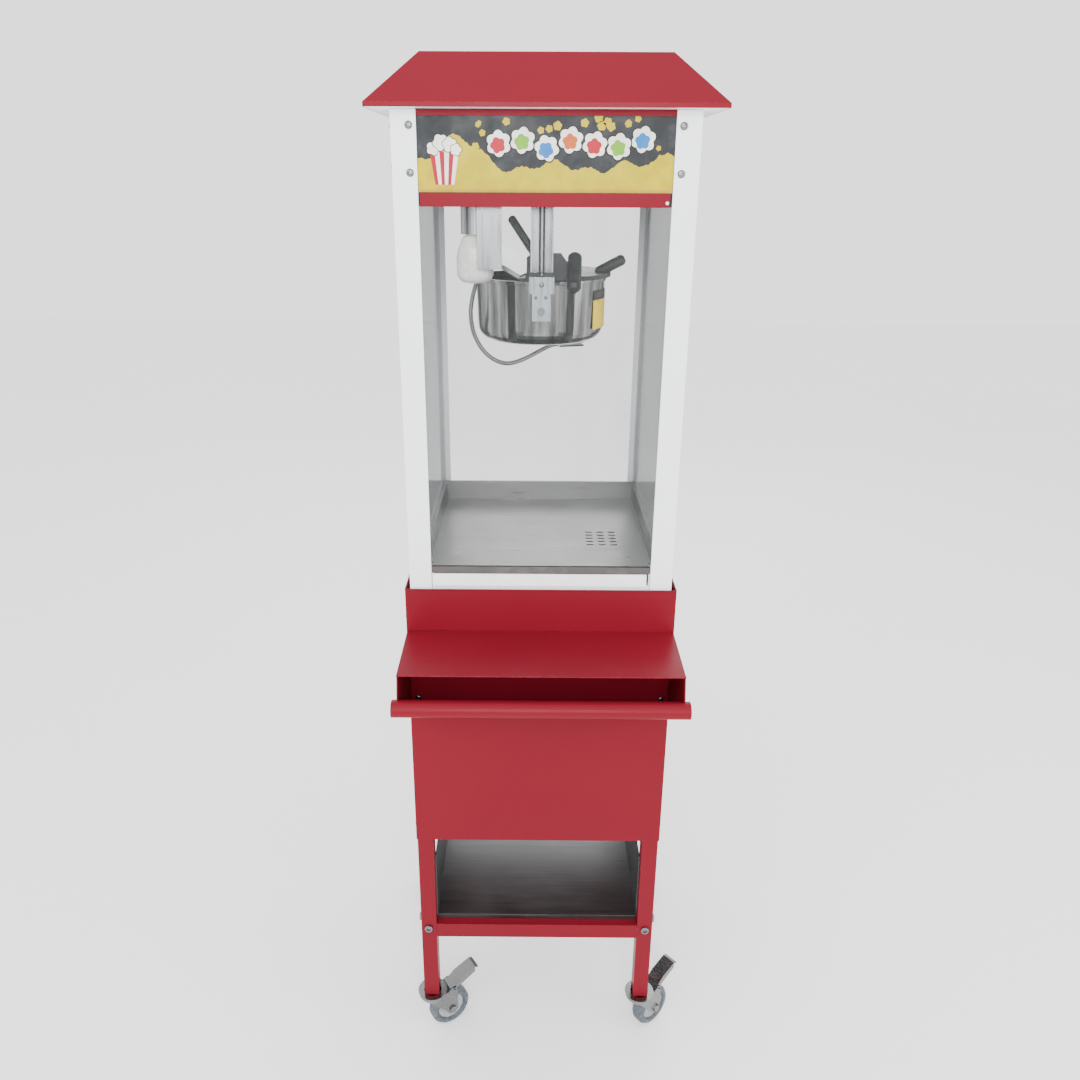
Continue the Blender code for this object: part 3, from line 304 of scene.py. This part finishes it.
def drawer_look(front):
    """White front plate, and behind it the tray, coloured near black as painted shade from the floor over it.
    """
    look = Look("drawer", Specular_IOR_Level=0.3)
    parts = look.node("ShaderNodeSeparateXYZ")
    look.feed(parts.inputs[0], look.place)
    behind = look.spread(parts.outputs["Y"], 0.0, 1.0, front + 0.0026, front + 0.0030)
    tone = look.spread(look.noise(30.0, 4.0), 0.0, 1.0)
    white = look.mix(tone, (0.82, 0.84, 0.87), (0.86, 0.88, 0.91))
    # painted shade: the tray behind the front is coloured near black for the shade the floor casts on it
    dark = look.mix(tone, (0.020, 0.020, 0.021), (0.040, 0.040, 0.042))
    look.to("Base Color", look.mix(behind, white, dark))
    look.to("Roughness", look.spread(look.noise(12.0, 3.0), 0.32, 0.45))
    return look.relief(look.noise(650.0, 2.0), 0.05, 0.0003, 0.0007).material


def by_node():
    """The look of every CAD node that shows."""
    chosen = {}
    for look, names in (
            (RED, "roof sign_rail side_header_left side_header_right cart_body serving_shelf leg_front_left "
                  "leg_front_right leg_rear_left leg_rear_right rail_front rail_rear"),
            (WHITE, "roof_base post_front_left post_front_right post_rear_left post_rear_right base_frame"),
            (CHARCOAL, "sign_panel"),
            (GLASS, "front_glass side_glass_left side_glass_right"),
            (ACRYLIC, "rear_door"),
            (SATIN, "ceiling_plate control_panel hanger_arm lamp_holder stir_motor drive_shaft cross_shaft "
                    "stirrer"),
            (FLOOR_STEEL, "floor_plate floor_sill"),
            (BLUE_STEEL, "gear_head"),
            (STEEL_PAINTED_SHADE, "machine_deck shelf_pan"),
            (ZINC, "door_hinge_upper door_hinge_lower caster_front_left_fork caster_front_right_fork "
                   "caster_rear_left_fork caster_rear_right_fork caster_front_left_pedal "
                   "caster_front_right_pedal"),
            (BLACK, "switch_motor switch_heater switch_lamp cord_gland door_knob lid_bridge lid_right"),
            (LID_STEEL, "lid_left"),
            (BULB, "lamp_bulb")):
        chosen.update({name: look for name in names.split()})
    chosen["crumb_drawer"] = drawer_look(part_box("crumb_drawer")[0].y)
    chosen["kettle_pot"] = polished_pot(at(KETTLE_X, KETTLE_Y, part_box("kettle_pot")[0].z))
    for joint in frame["joints"]:
        if joint["name"].endswith("_roll"):
            node = "caster_" + joint["name"].replace("_roll", "_wheel")
            chosen[node] = wheel_look("tyre_" + node, joint["pos_m"], joint["axis"])
    return chosen


for node_name, look in by_node().items():
    data = NODES[node_name].data
    data.materials.clear()
    data.materials.append(look)
    data.shade_smooth()
    data.set_sharp_from_angle(angle=math.radians(32))


# ---------------------------------------------------------------- shape helpers

def piece(name, work, body, look, sharp=40):
    """A finished mesh that rides on a body."""
    bmesh.ops.recalc_face_normals(work, faces=work.faces)
    mesh = bpy.data.meshes.new(name)
    work.to_mesh(mesh)
    work.free()
    mesh.materials.append(look)
    mesh.shade_smooth()
    mesh.set_sharp_from_angle(angle=math.radians(sharp))
    made = bpy.data.objects.new(name, mesh)
    bpy.context.scene.collection.objects.link(made)
    if body:
        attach(made, body)
    return made


def slab(work, outline, low, high):
    """A closed outline of (x, z) points, extruded along Y between two depths."""
    rings = [[work.verts.new(at(x, y, z)) for x, z in outline] for y in (low, high)]
    work.faces.new(rings[0])
    work.faces.new(rings[1][::-1])
    for i in range(len(outline)):
        j = (i + 1) % len(outline)
        work.faces.new((rings[0][i], rings[1][i], rings[1][j], rings[0][j]))


def lathe(work, origin, axis, profile, steps=24):
    """A profile of (radius, height along the axis) turned about it, closed where a radius is 0."""
    axis = Vector(axis).normalized()
    side = axis.orthogonal().normalized()
    other = axis.cross(side)
    rings = []
    for radius, height in profile:
        base = origin + axis * height
        if radius == 0:
            rings.append([work.verts.new(base)])
        else:
            rings.append([work.verts.new(base + (side * math.cos(a) + other * math.sin(a)) * radius)
                          for a in (2 * math.pi * i / steps for i in range(steps))])
    for first, second in zip(rings, rings[1:]):
        for i in range(steps):
            j = (i + 1) % steps
            corners = [first[i % len(first)], first[j % len(first)], second[j % len(second)],
                       second[i % len(second)]]
            work.faces.new(list(dict.fromkeys(corners)))


def tube(work, path, radii, sides=12):
    """A closed tube along a path, one radius for each point."""
    tangents = [(after - before).normalized()
                for before, after in zip([path[0], *path[:-1]], [*path[1:], path[-1]])]
    side = tangents[0].orthogonal().normalized()
    rings = []
    for point, tangent, radius in zip(path, tangents, radii):
        side = (side - tangent * side.dot(tangent)).normalized()
        other = tangent.cross(side)
        rings.append([work.verts.new(point + (side * math.cos(a) + other * math.sin(a)) * radius)
                      for a in (2 * math.pi * i / sides for i in range(sides))])
    for first, second in zip(rings, rings[1:]):
        for i in range(sides):
            j = (i + 1) % sides
            work.faces.new((first[i], first[j], second[j], second[i]))
    work.faces.new(rings[0][::-1])
    work.faces.new(rings[-1])


def pan_head(radius, height):
    """Domed screw head with a round recess."""
    return [(0, -0.0004), (radius, -0.0004), (radius, height * 0.35), (radius * 0.88, height * 0.72),
            (radius * 0.60, height * 0.95), (radius * 0.34, height), (radius * 0.26, height * 0.45),
            (0, height * 0.40)]


def socket_head(radius, height):
    """Cap screw with a chamfered rim and a deep socket."""
    return [(0, -0.0004), (radius, -0.0004), (radius, height * 0.80), (radius * 0.90, height),
            (radius * 0.56, height), (radius * 0.52, height * 0.35), (0, height * 0.30)]


def fasteners(name, body, spots, axis, profile, look=ZINC, steps=20):
    """One piece with a turned head at each spot."""
    work = bmesh.new()
    for spot in spots:
        lathe(work, at(*spot), axis, profile, steps)
    return piece(name, work, body, look)


FRONT, BACK, LEFT, RIGHT = (0, -1, 0), (0, 1, 0), (-1, 0, 0), (1, 0, 0)


# ---------------------------------------------------------------- the kettle's lead, first of the pieces

LEAD_R = 0.0035
LEAD_ROUTE = [
    (-0.090, 0.125, 1.4500), (-0.0905, 0.1255, 1.4200), (-0.093, 0.127, 1.3800), (-0.097, 0.130, 1.3400),
    (-0.104, 0.135, 1.3130), (-0.1075, 0.140, 1.2880), (-0.1035, 0.147, 1.2580), (-0.0900, 0.152, 1.2320),
    (-0.0720, 0.158, 1.2160), (-0.0520, 0.166, 1.2095), (-0.0300, 0.174, 1.2140), (-0.0080, 0.181, 1.2240),
    (0.0080, 0.1840, 1.2318), (0.0180, 0.185, 1.2356), (0.0260, 0.185, 1.2360),
]
RIB_PITCH = 0.0022
RIB_WAVE = (1.0, 0.90, 0.84, 0.90)      # radius through one rib, as a share of LEAD_R


ROUTE_STEPS = 60             # straight steps between two points of the route


def smooth_route(route, spacing):
    """Evenly spaced points on one smooth curve through the route, and the curve's length."""
    points = [Vector(point) for point in route]
    ends = [2 * points[0] - points[1], *points, 2 * points[-1] - points[-2]]
    dense = []
    for before, start, end, after in zip(ends, ends[1:], ends[2:], ends[3:]):
        for step in range(ROUTE_STEPS):
            t = step / ROUTE_STEPS
            dense.append(0.5 * (2 * start + (end - before) * t
                                + (2 * before - 5 * start + 4 * end - after) * t * t
                                + (3 * start - before - 3 * end + after) * t ** 3))
    dense.append(points[-1])
    total = sum((b - a).length for a, b in zip(dense, dense[1:]))
    count = round(total / spacing)
    found, walked = [dense[0]], 0.0
    for a, b in zip(dense, dense[1:]):
        walked += (b - a).length
        if walked >= len(found) * total / count and len(found) < count:
            found.append(b)
    return [*found, dense[-1]], total


def make_lead():
    """Ribbed flexible conduit from the ceiling plate to the kettle's underside. Both its ends are fixed."""
    path, length = smooth_route(LEAD_ROUTE, RIB_PITCH / len(RIB_WAVE))
    path = [point + SHIFT for point in path]
    work = bmesh.new()
    tube(work, path, [LEAD_R * RIB_WAVE[i % len(RIB_WAVE)] for i in range(len(path))], 14)
    lead = piece("kettle_conduit", work, None, CONDUIT, 80)
    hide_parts("kettle_lead")
    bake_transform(lead)


make_lead()


# ---------------------------------------------------------------- sign: generic puffs and a striped tub

def print_look(name, colour):
    """Printed film: slight ink mottling under a satin face."""
    look = Look(name, Specular_IOR_Level=0.12)
    look.to("Base Color", look.mix(look.spread(look.noise(60.0, 4.0), 0.0, 1.0), shade(colour, 0.90),
                                   shade(colour, 1.06)))
    look.to("Roughness", look.spread(look.noise(40.0, 4.0), 0.24, 0.36))
    return look.relief(look.noise(500.0, 2.0), 0.04, 0.0002).material


SIGN_FACE = 0.0018           # front of the sign panel
SIGN_HALF = 0.1632
SIGN_LOW = 1.4600
FILM = 0.00005               # how far each printed layer stands before the last
SPLASH_STEPS = 150
PUFF_START, PUFF_PITCH, PUFF_RISE = -0.060, 0.0305, 1.5180
CRUMBS = 20
TUB_X, TUB_LOW, TUB_TOP = -0.1290, 1.4690, 1.5080
TUB_FOOT, TUB_MOUTH = 0.0120, 0.0185     # half widths
TUB_STRIPES = 6


def printed(name, outlines, look, layer):
    """Outlines printed on the sign, one film thickness proud for each layer."""
    work = bmesh.new()
    for outline in outlines:
        slab(work, outline, SIGN_FACE - FILM * layer, SIGN_FACE - FILM * 0.2)
    return piece(name, work, "root", look)


def puff(x, z, radius, lobes, phase):
    """A scalloped round outline, as of a popped kernel."""
    outline = []
    for i in range(10 * lobes):
        angle = 2 * math.pi * i / (10 * lobes)
        reach = radius * (0.78 + 0.22 * abs(math.cos(lobes * angle / 2 + phase)))
        outline.append((x + reach * math.cos(angle), z + reach * math.sin(angle)))
    return outline


def make_sign():
    """A splash of colour, a row of puffs, loose crumbs and a striped tub with a heap on it."""
    rng = random.Random(11)
    yellow = print_look("ink_yellow", (0.43, 0.335, 0.0015))
    cream = print_look("ink_cream", (0.72, 0.71, 0.68))
    black = print_look("ink_black", (0.012, 0.012, 0.012))
    bright = [print_look("ink_" + word, colour) for word, colour in (
        ("crimson", (0.34, 0.008, 0.020)), ("green", (0.14, 0.33, 0.02)), ("blue", (0.010, 0.14, 0.40)),
        ("orange", (0.42, 0.085, 0.012)))]
    ochre = print_look("ink_ochre", (0.40, 0.27, 0.02))

    edge = []
    for i in range(SPLASH_STEPS + 1):
        x = SIGN_HALF - 2 * SIGN_HALF * i / SPLASH_STEPS
        rise = 0.030 + 0.005 * math.sin(61 * x + 1) + 0.004 * math.sin(143 * x) + rng.uniform(0, 0.0022)
        rise += 0.034 * math.exp(-((x + 0.118) / 0.036) ** 2) + 0.022 * math.exp(-((x - 0.160) / 0.018) ** 2)
        edge.append((x, SIGN_LOW + rise))
    printed("sign_splash", [[(-SIGN_HALF, SIGN_LOW), (SIGN_HALF, SIGN_LOW), *edge]], yellow, 1)
    printed("sign_baseline", [[(-SIGN_HALF, SIGN_LOW), (SIGN_HALF, SIGN_LOW), (SIGN_HALF, SIGN_LOW + 0.0042),
                               (-SIGN_HALF, SIGN_LOW + 0.0034)]], ochre, 2)
    spots = [(PUFF_START + PUFF_PITCH * i, PUFF_RISE + 0.0055 * math.sin(2.4 * i)) for i in range(7)]
    scattered = []
    while len(scattered) < CRUMBS:
        x, z = rng.uniform(-0.092, 0.155), rng.uniform(1.500, 1.5480)
        if all(math.hypot(x - a, z - b) > 0.0215 for a, b in spots):
            scattered.append(puff(x, z, rng.uniform(0.0028, 0.0060), 5, rng.uniform(0, 3)))
    for number, outline in enumerate(scattered):
        printed(f"sign_crumb_{number:02d}", [outline], yellow, 3 + number % 2)
    for number, (x, z) in enumerate(spots):
        phase = rng.uniform(0, 3)
        printed(f"sign_puff_{number}_rim", [puff(x, z, 0.0176, 6, phase)], black, 5 + number % 2 * 4)
        printed(f"sign_puff_{number}_body", [puff(x, z, 0.0158, 6, phase)], cream, 6 + number % 2 * 4)
        printed(f"sign_puff_{number}_heart", [puff(x - 0.001, z - 0.002, 0.0098, 5, phase)],
                bright[number % 4], 7 + number % 2 * 4)

    stripes = ([], [])
    for i in range(TUB_STRIPES):
        left, right = 2 * i / TUB_STRIPES - 1, 2 * (i + 1) / TUB_STRIPES - 1
        stripes[i % 2].append([(TUB_X + left * TUB_FOOT, TUB_LOW), (TUB_X + right * TUB_FOOT, TUB_LOW),
                               (TUB_X + right * TUB_MOUTH, TUB_TOP), (TUB_X + left * TUB_MOUTH, TUB_TOP)])
    printed("sign_tub_red", stripes[0], bright[0], 6)
    printed("sign_tub_white", stripes[1], cream, 6)
    heap = [(-0.014, 1.512, 0.0085), (-0.0045, 1.519, 0.0100), (0.0070, 1.5165, 0.0092),
            (0.0150, 1.5105, 0.0072)]
    for number, (x, z, radius) in enumerate(heap):
        printed(f"sign_heap_{number}_rim", [puff(TUB_X + x, z, radius + 0.0010, 5, number)], black,
                7 + 2 * number)
        printed(f"sign_heap_{number}", [puff(TUB_X + x, z, radius, 5, number)], cream, 8 + 2 * number)


make_sign()


# ---------------------------------------------------------------- cabinet fittings

HEADER_TOP_Z = 1.5390        # upper row of screws at the header
POST_SCREW_X = 0.1730
HEADER_SIDE = 0.1947         # outer faces of the side headers
HINGE_SIDE = 0.1984          # outer face of the door hinges, where their screws sit
HINGE_SCREW_Z = (1.3805, 1.4020, 1.1495, 1.1710)
PANEL_FACE = 0.3702          # rear face of the control panel
PANEL_SCREW_X, PANEL_SCREW_Z = (-0.150, 0.163), (1.455, 1.545)
BEZEL_LOW, BEZEL_TOP = 0.3700, 0.3722    # depths of the switch frames, sunk a little into the panel
FLANGE_LOW, FLANGE_TOP = 1.5502, 1.5576
SEAL_HALF, SEAL_LOW, SEAL_TOP, SEAL_CORNER = 0.1635, 0.9266, 0.9362, 0.0008


def make_cabinet_screws():
    """Screws of the posts, the sign rail, the door hinges, the control panel and the side headers."""
    screw = pan_head(0.0050, 0.0028)
    for name, y, axis in (("post_screws_front", 0.0, FRONT), ("post_screws_rear", POST_BACK, BACK)):
        spots = [(x, y, z) for x in (-POST_SCREW_X, POST_SCREW_X) for z in (1.4830, HEADER_TOP_Z)]
        fasteners(name, "root", spots, axis, screw)
    for name, x, axis in (("post_screws_left", -POST_X, LEFT), ("post_screws_right", POST_X, RIGHT)):
        spots = [(x, y, z) for y in (0.016, 0.356) for z in (1.4900, HEADER_TOP_Z, 0.9150)]
        fasteners(name, "root", spots, axis, screw)
    fasteners("rail_rivet", "root", [(0.1570, -0.0020, 1.4480)], FRONT, pan_head(0.0021, 0.0010), WHITE)
    fasteners("door_hinge_screws", "root", [(HINGE_SIDE, 0.361, z) for z in HINGE_SCREW_Z], RIGHT,
              pan_head(0.0030, 0.0014))
    spots = [(x, PANEL_FACE, z) for x in PANEL_SCREW_X for z in PANEL_SCREW_Z]
    fasteners("panel_screws", "root", spots, BACK, pan_head(0.0036, 0.0019))
    rivet = [(0, -0.0004), (0.0022, -0.0004), (0.0022, 0.0003), (0, 0.0005)]
    for name, x, axis in (("header_rivets_left", -HEADER_SIDE, LEFT),
                          ("header_rivets_right", HEADER_SIDE, RIGHT)):
        fasteners(name, "root", [(x, y, 1.5300) for y in (0.11, 0.26)], axis, rivet)


def make_front_strips():
    """The dark seal under the front glass, and the red flange under the eave."""
    inner = SEAL_HALF - SEAL_CORNER
    shoulder = SEAL_TOP - SEAL_CORNER
    work = bmesh.new()
    slab(work, [(-SEAL_HALF, SEAL_LOW), (SEAL_HALF, SEAL_LOW), (SEAL_HALF, shoulder), (inner, SEAL_TOP),
                (-inner, SEAL_TOP), (-SEAL_HALF, shoulder)], 0.0009, 0.0031)
    piece("window_seal", work, "root", DARK_SEAL)

    half = 0.1633
    work = bmesh.new()
    slab(work, [(-half, FLANGE_LOW), (half, FLANGE_LOW), (half, FLANGE_TOP), (-half, FLANGE_TOP)],
         0.0004, 0.0014)
    piece("header_flange", work, "root", RED)


def make_bezels():
    """A frame round each rocker switch."""
    half, tall, rim = 0.0118, 0.0158, 0.0030
    bars = ((-half - rim, half + rim, tall, tall + rim), (-half - rim, half + rim, -tall - rim, -tall),
            (-half - rim, -half, -tall, tall), (half, half + rim, -tall, tall))
    for name, x in SWITCHES:
        work = bmesh.new()
        for left, right, low, high in bars:
            slab(work, [(x + left, SWITCH_Z + low), (x + right, SWITCH_Z + low),
                        (x + right, SWITCH_Z + high), (x + left, SWITCH_Z + high)], BEZEL_LOW, BEZEL_TOP)
        piece(f"switch_bezel_{name}", work, "root", BLACK)


make_cabinet_screws()
make_front_strips()
make_bezels()


# ---------------------------------------------------------------- kettle and drive fittings

HEAD_FACE = 0.0475           # front of the gear head's lower plate
CLAMP_FACE = 0.0460          # front of the gear head's upper clamp
BAND_LOW, BAND_TOP = 1.3508, 1.3570
BAND_HALF = 0.0155
BAND_FACE = 0.0455


def make_drive_fittings():
    """Screws and band of the gear head, and the gland that the lead hangs from."""
    fasteners("pivot_screws", "root", [(x, HEAD_FACE, 1.3228) for x in (-0.0110, 0.0030)], FRONT,
              pan_head(0.0024, 0.0013))
    fasteners("pivot_bolt", "root", [(-0.0035, HEAD_FACE, 1.3040)], FRONT, socket_head(0.0052, 0.0030))
    fasteners("clamp_bolt", "root", [(KETTLE_X, CLAMP_FACE, 1.3400)], FRONT, pan_head(0.0034, 0.0018))
    left, right = KETTLE_X - BAND_HALF, KETTLE_X + BAND_HALF
    work = bmesh.new()
    slab(work, [(left, BAND_LOW), (right, BAND_LOW), (right, BAND_TOP), (left, BAND_TOP)],
         BAND_FACE, BAND_FACE + 0.0023)
    piece("hanger_band", work, "root", BLACK)
    fasteners("band_screw", "root", [(KETTLE_X, BAND_FACE, (BAND_LOW + BAND_TOP) / 2)], FRONT,
              pan_head(0.0022, 0.0011))
    fasteners("lead_gland", "root", [(-0.090, 0.125, 1.4502)], (0, 0, -1),
              [(0, -0.0002), (0.0075, -0.0002), (0.0075, 0.0050), (0.0058, 0.0062), (0.0058, 0.0110),
               (0.0046, 0.0125), (0, 0.0125)], SATIN, 6)


PATCH_START, PATCH_END = -38, -9         # degrees round the pot, from +X
PATCH_STEPS = 14
PATCH_IN, PATCH_OUT = 0.0979, 0.0984     # radii of its inner and outer faces


def patch(name, low, high, look):
    """A thin plain label that follows the pot's wall."""
    work = bmesh.new()
    columns = []
    for i in range(PATCH_STEPS + 1):
        angle = math.radians(PATCH_START + (PATCH_END - PATCH_START) * i / PATCH_STEPS)
        ray = Vector((math.cos(angle), math.sin(angle), 0))
        columns.append([work.verts.new(at(KETTLE_X, KETTLE_Y, 0) + ray * radius + Vector((0, 0, z)))
                        for radius, z in ((PATCH_IN, low), (PATCH_OUT, low), (PATCH_OUT, high),
                                          (PATCH_IN, high))])
    for first, second in zip(columns, columns[1:]):
        for i in range(4):
            j = (i + 1) % 4
            work.faces.new((first[i], first[j], second[j], second[i]))
    work.faces.new(columns[0][::-1])
    work.faces.new(columns[-1])
    piece(name, work, "kettle", look)


def make_kettle_fittings():
    """The pot's two-tone label, and the screw of the lid bridge's bracket."""
    patch("kettle_patch_yellow", 1.2680, 1.3100, print_look("patch_yellow", (0.78, 0.58, 0.02)))
    patch("kettle_patch_dark", 1.3102, 1.3240, print_look("patch_dark", (0.02, 0.02, 0.02)))
    fasteners("bracket_screw", "kettle", [(0.0060, 0.0775, 1.3600)], FRONT, pan_head(0.0030, 0.0016))


make_drive_fittings()
make_kettle_fittings()


# ---------------------------------------------------------------- cart fittings

LEG_BOLT_X = 0.1900
SHELF_SCREW_X = 0.1905
LEG_FRONT, LEG_BACK, LEG_SIDE = -0.0030, 0.3790, 0.2027      # outer faces of the legs
CART_SIDE = 0.2042           # outer face of the cart's side
HEM_X, HEM_FRONT, HEM_BACK, HEM_Z = 0.2036, -0.0039, 0.3799, 0.9008
HEM_R = 0.00115
FORK_HALF = 0.0160           # outer faces of the fork's cheeks, from the wheel's middle
RACE_Z = 0.0897              # top of the fork


def make_cart_screws():
    """Bolts of the four legs, and screws of the serving shelf and the cart's box."""
    bolt = socket_head(0.0070, 0.0042)
    for name, y, axis in (("leg_bolts_front", LEG_FRONT, FRONT), ("leg_bolts_rear", LEG_BACK, BACK)):
        fasteners(name, "root", [(x, y, 0.2460) for x in (-LEG_BOLT_X, LEG_BOLT_X)], axis, bolt)
    for name, x, axis in (("leg_bolts_left", -LEG_SIDE, LEFT), ("leg_bolts_right", LEG_SIDE, RIGHT)):
        fasteners(name, "root", [(x, y, 0.2600) for y in LEG_Y], axis, bolt)
    fasteners("shelf_screws", "root", [(x, -0.0063, 0.7150) for x in (-SHELF_SCREW_X, SHELF_SCREW_X)], FRONT,
              pan_head(0.0048, 0.0026))
    for name, x, axis in (("cart_screws_left", -CART_SIDE, LEFT), ("cart_screws_right", CART_SIDE, RIGHT)):
        fasteners(name, "root", [(x, y, z) for y in LEG_Y for z in (0.4620, 0.8500)], axis,
                  pan_head(0.0046, 0.0024))


def make_rim_hem():
    """The rolled upper edge of the cart's box."""
    corners = [(-HEM_X, HEM_FRONT), (HEM_X, HEM_FRONT), (HEM_X, HEM_BACK), (-HEM_X, HEM_BACK)]
    work = bmesh.new()
    for before, after in zip(corners, corners[1:] + corners[:1]):
        start, end = at(*before, HEM_Z), at(*after, HEM_Z)
        step = (end - start).normalized() * 0.0002
        tube(work, [start + step, end - step], [HEM_R, HEM_R], 12)
    piece("rim_hem", work, "root", RED, 60)


def make_caster_fittings():
    """Hexagonal axle nuts and a bearing ring on each caster's fork."""
    joints = {joint["name"]: joint for joint in frame["joints"]}
    nut = [(0, 0.0), (0.0072, 0.0), (0.0072, 0.0034), (0.0062, 0.0042), (0, 0.0042)]
    ring = [(0, 0.0), (0.0262, 0.0), (0.0262, 0.0018), (0.0246, 0.0026), (0, 0.0026)]
    for name, joint in joints.items():
        if not name.endswith("_roll"):
            continue
        corner = name.replace("_roll", "")
        centre, axis = Vector(joint["pos_m"]), Vector(joint["axis"]).normalized()
        work = bmesh.new()
        for side in (-1, 1):
            lathe(work, centre + axis * side * FORK_HALF, axis * side, nut, 6)
        piece(f"axle_nuts_{corner}", work, f"{corner}_caster", ZINC, 30)
        work = bmesh.new()
        base = Vector(joints[f"{corner}_swivel"]["pos_m"])
        base.z = RACE_Z
        lathe(work, base, (0, 0, -1), ring, 40)
        piece(f"bearing_ring_{corner}", work, f"{corner}_caster", ZINC, 30)


make_cart_screws()
make_rim_hem()
make_caster_fittings()


# ---------------------------------------------------------------- floor and light

FLOOR_HALF = 9.0
WORLD_STRENGTH = 2.0
LIGHT_AIM = (0, 0, 0.9)
LIGHTS = (                   # name, place, size, power
    ("key", (-1.8, -2.6, 3.2), 1.8, 45),
    ("front", (0.0, -2.3, 1.95), 0.9, 55),
    ("fill", (2.4, -1.2, 1.6), 1.6, 20),
    ("back", (0.4, 2.8, 2.8), 1.8, 35),
)


def make_floor():
    """A plain pale floor under the cart."""
    work = bmesh.new()
    bmesh.ops.create_grid(work, x_segments=8, y_segments=8, size=FLOOR_HALF)
    mesh = bpy.data.meshes.new("floor")
    work.to_mesh(mesh)
    work.free()
    look = Look("studio_floor")
    look.to("Base Color", look.mix(look.noise(0.8, 2.0), (0.94, 0.94, 0.94), (0.97, 0.97, 0.97)))
    look.to("Roughness", look.spread(look.noise(3.0, 3.0), 0.70, 0.85))
    mesh.materials.append(look.material)
    floor = bpy.data.objects.new("floor", mesh)
    bpy.context.scene.collection.objects.link(floor)


def make_lights():
    """An even white surround and four soft lamps."""
    world = bpy.data.worlds.new("studio")
    world.use_nodes = True
    backdrop = world.node_tree.nodes["Background"]
    backdrop.inputs["Color"].default_value = (1.0, 1.0, 1.0, 1.0)
    backdrop.inputs["Strength"].default_value = WORLD_STRENGTH
    bpy.context.scene.world = world
    for name, place, size, power in LIGHTS:
        data = bpy.data.lights.new(name, "AREA")
        data.size = size
        data.energy = power
        light = bpy.data.objects.new(name, data)
        light.location = place
        light.rotation_euler = (Vector(LIGHT_AIM) - Vector(place)).to_track_quat("-Z", "Y").to_euler()
        bpy.context.scene.collection.objects.link(light)


make_floor()
make_lights()
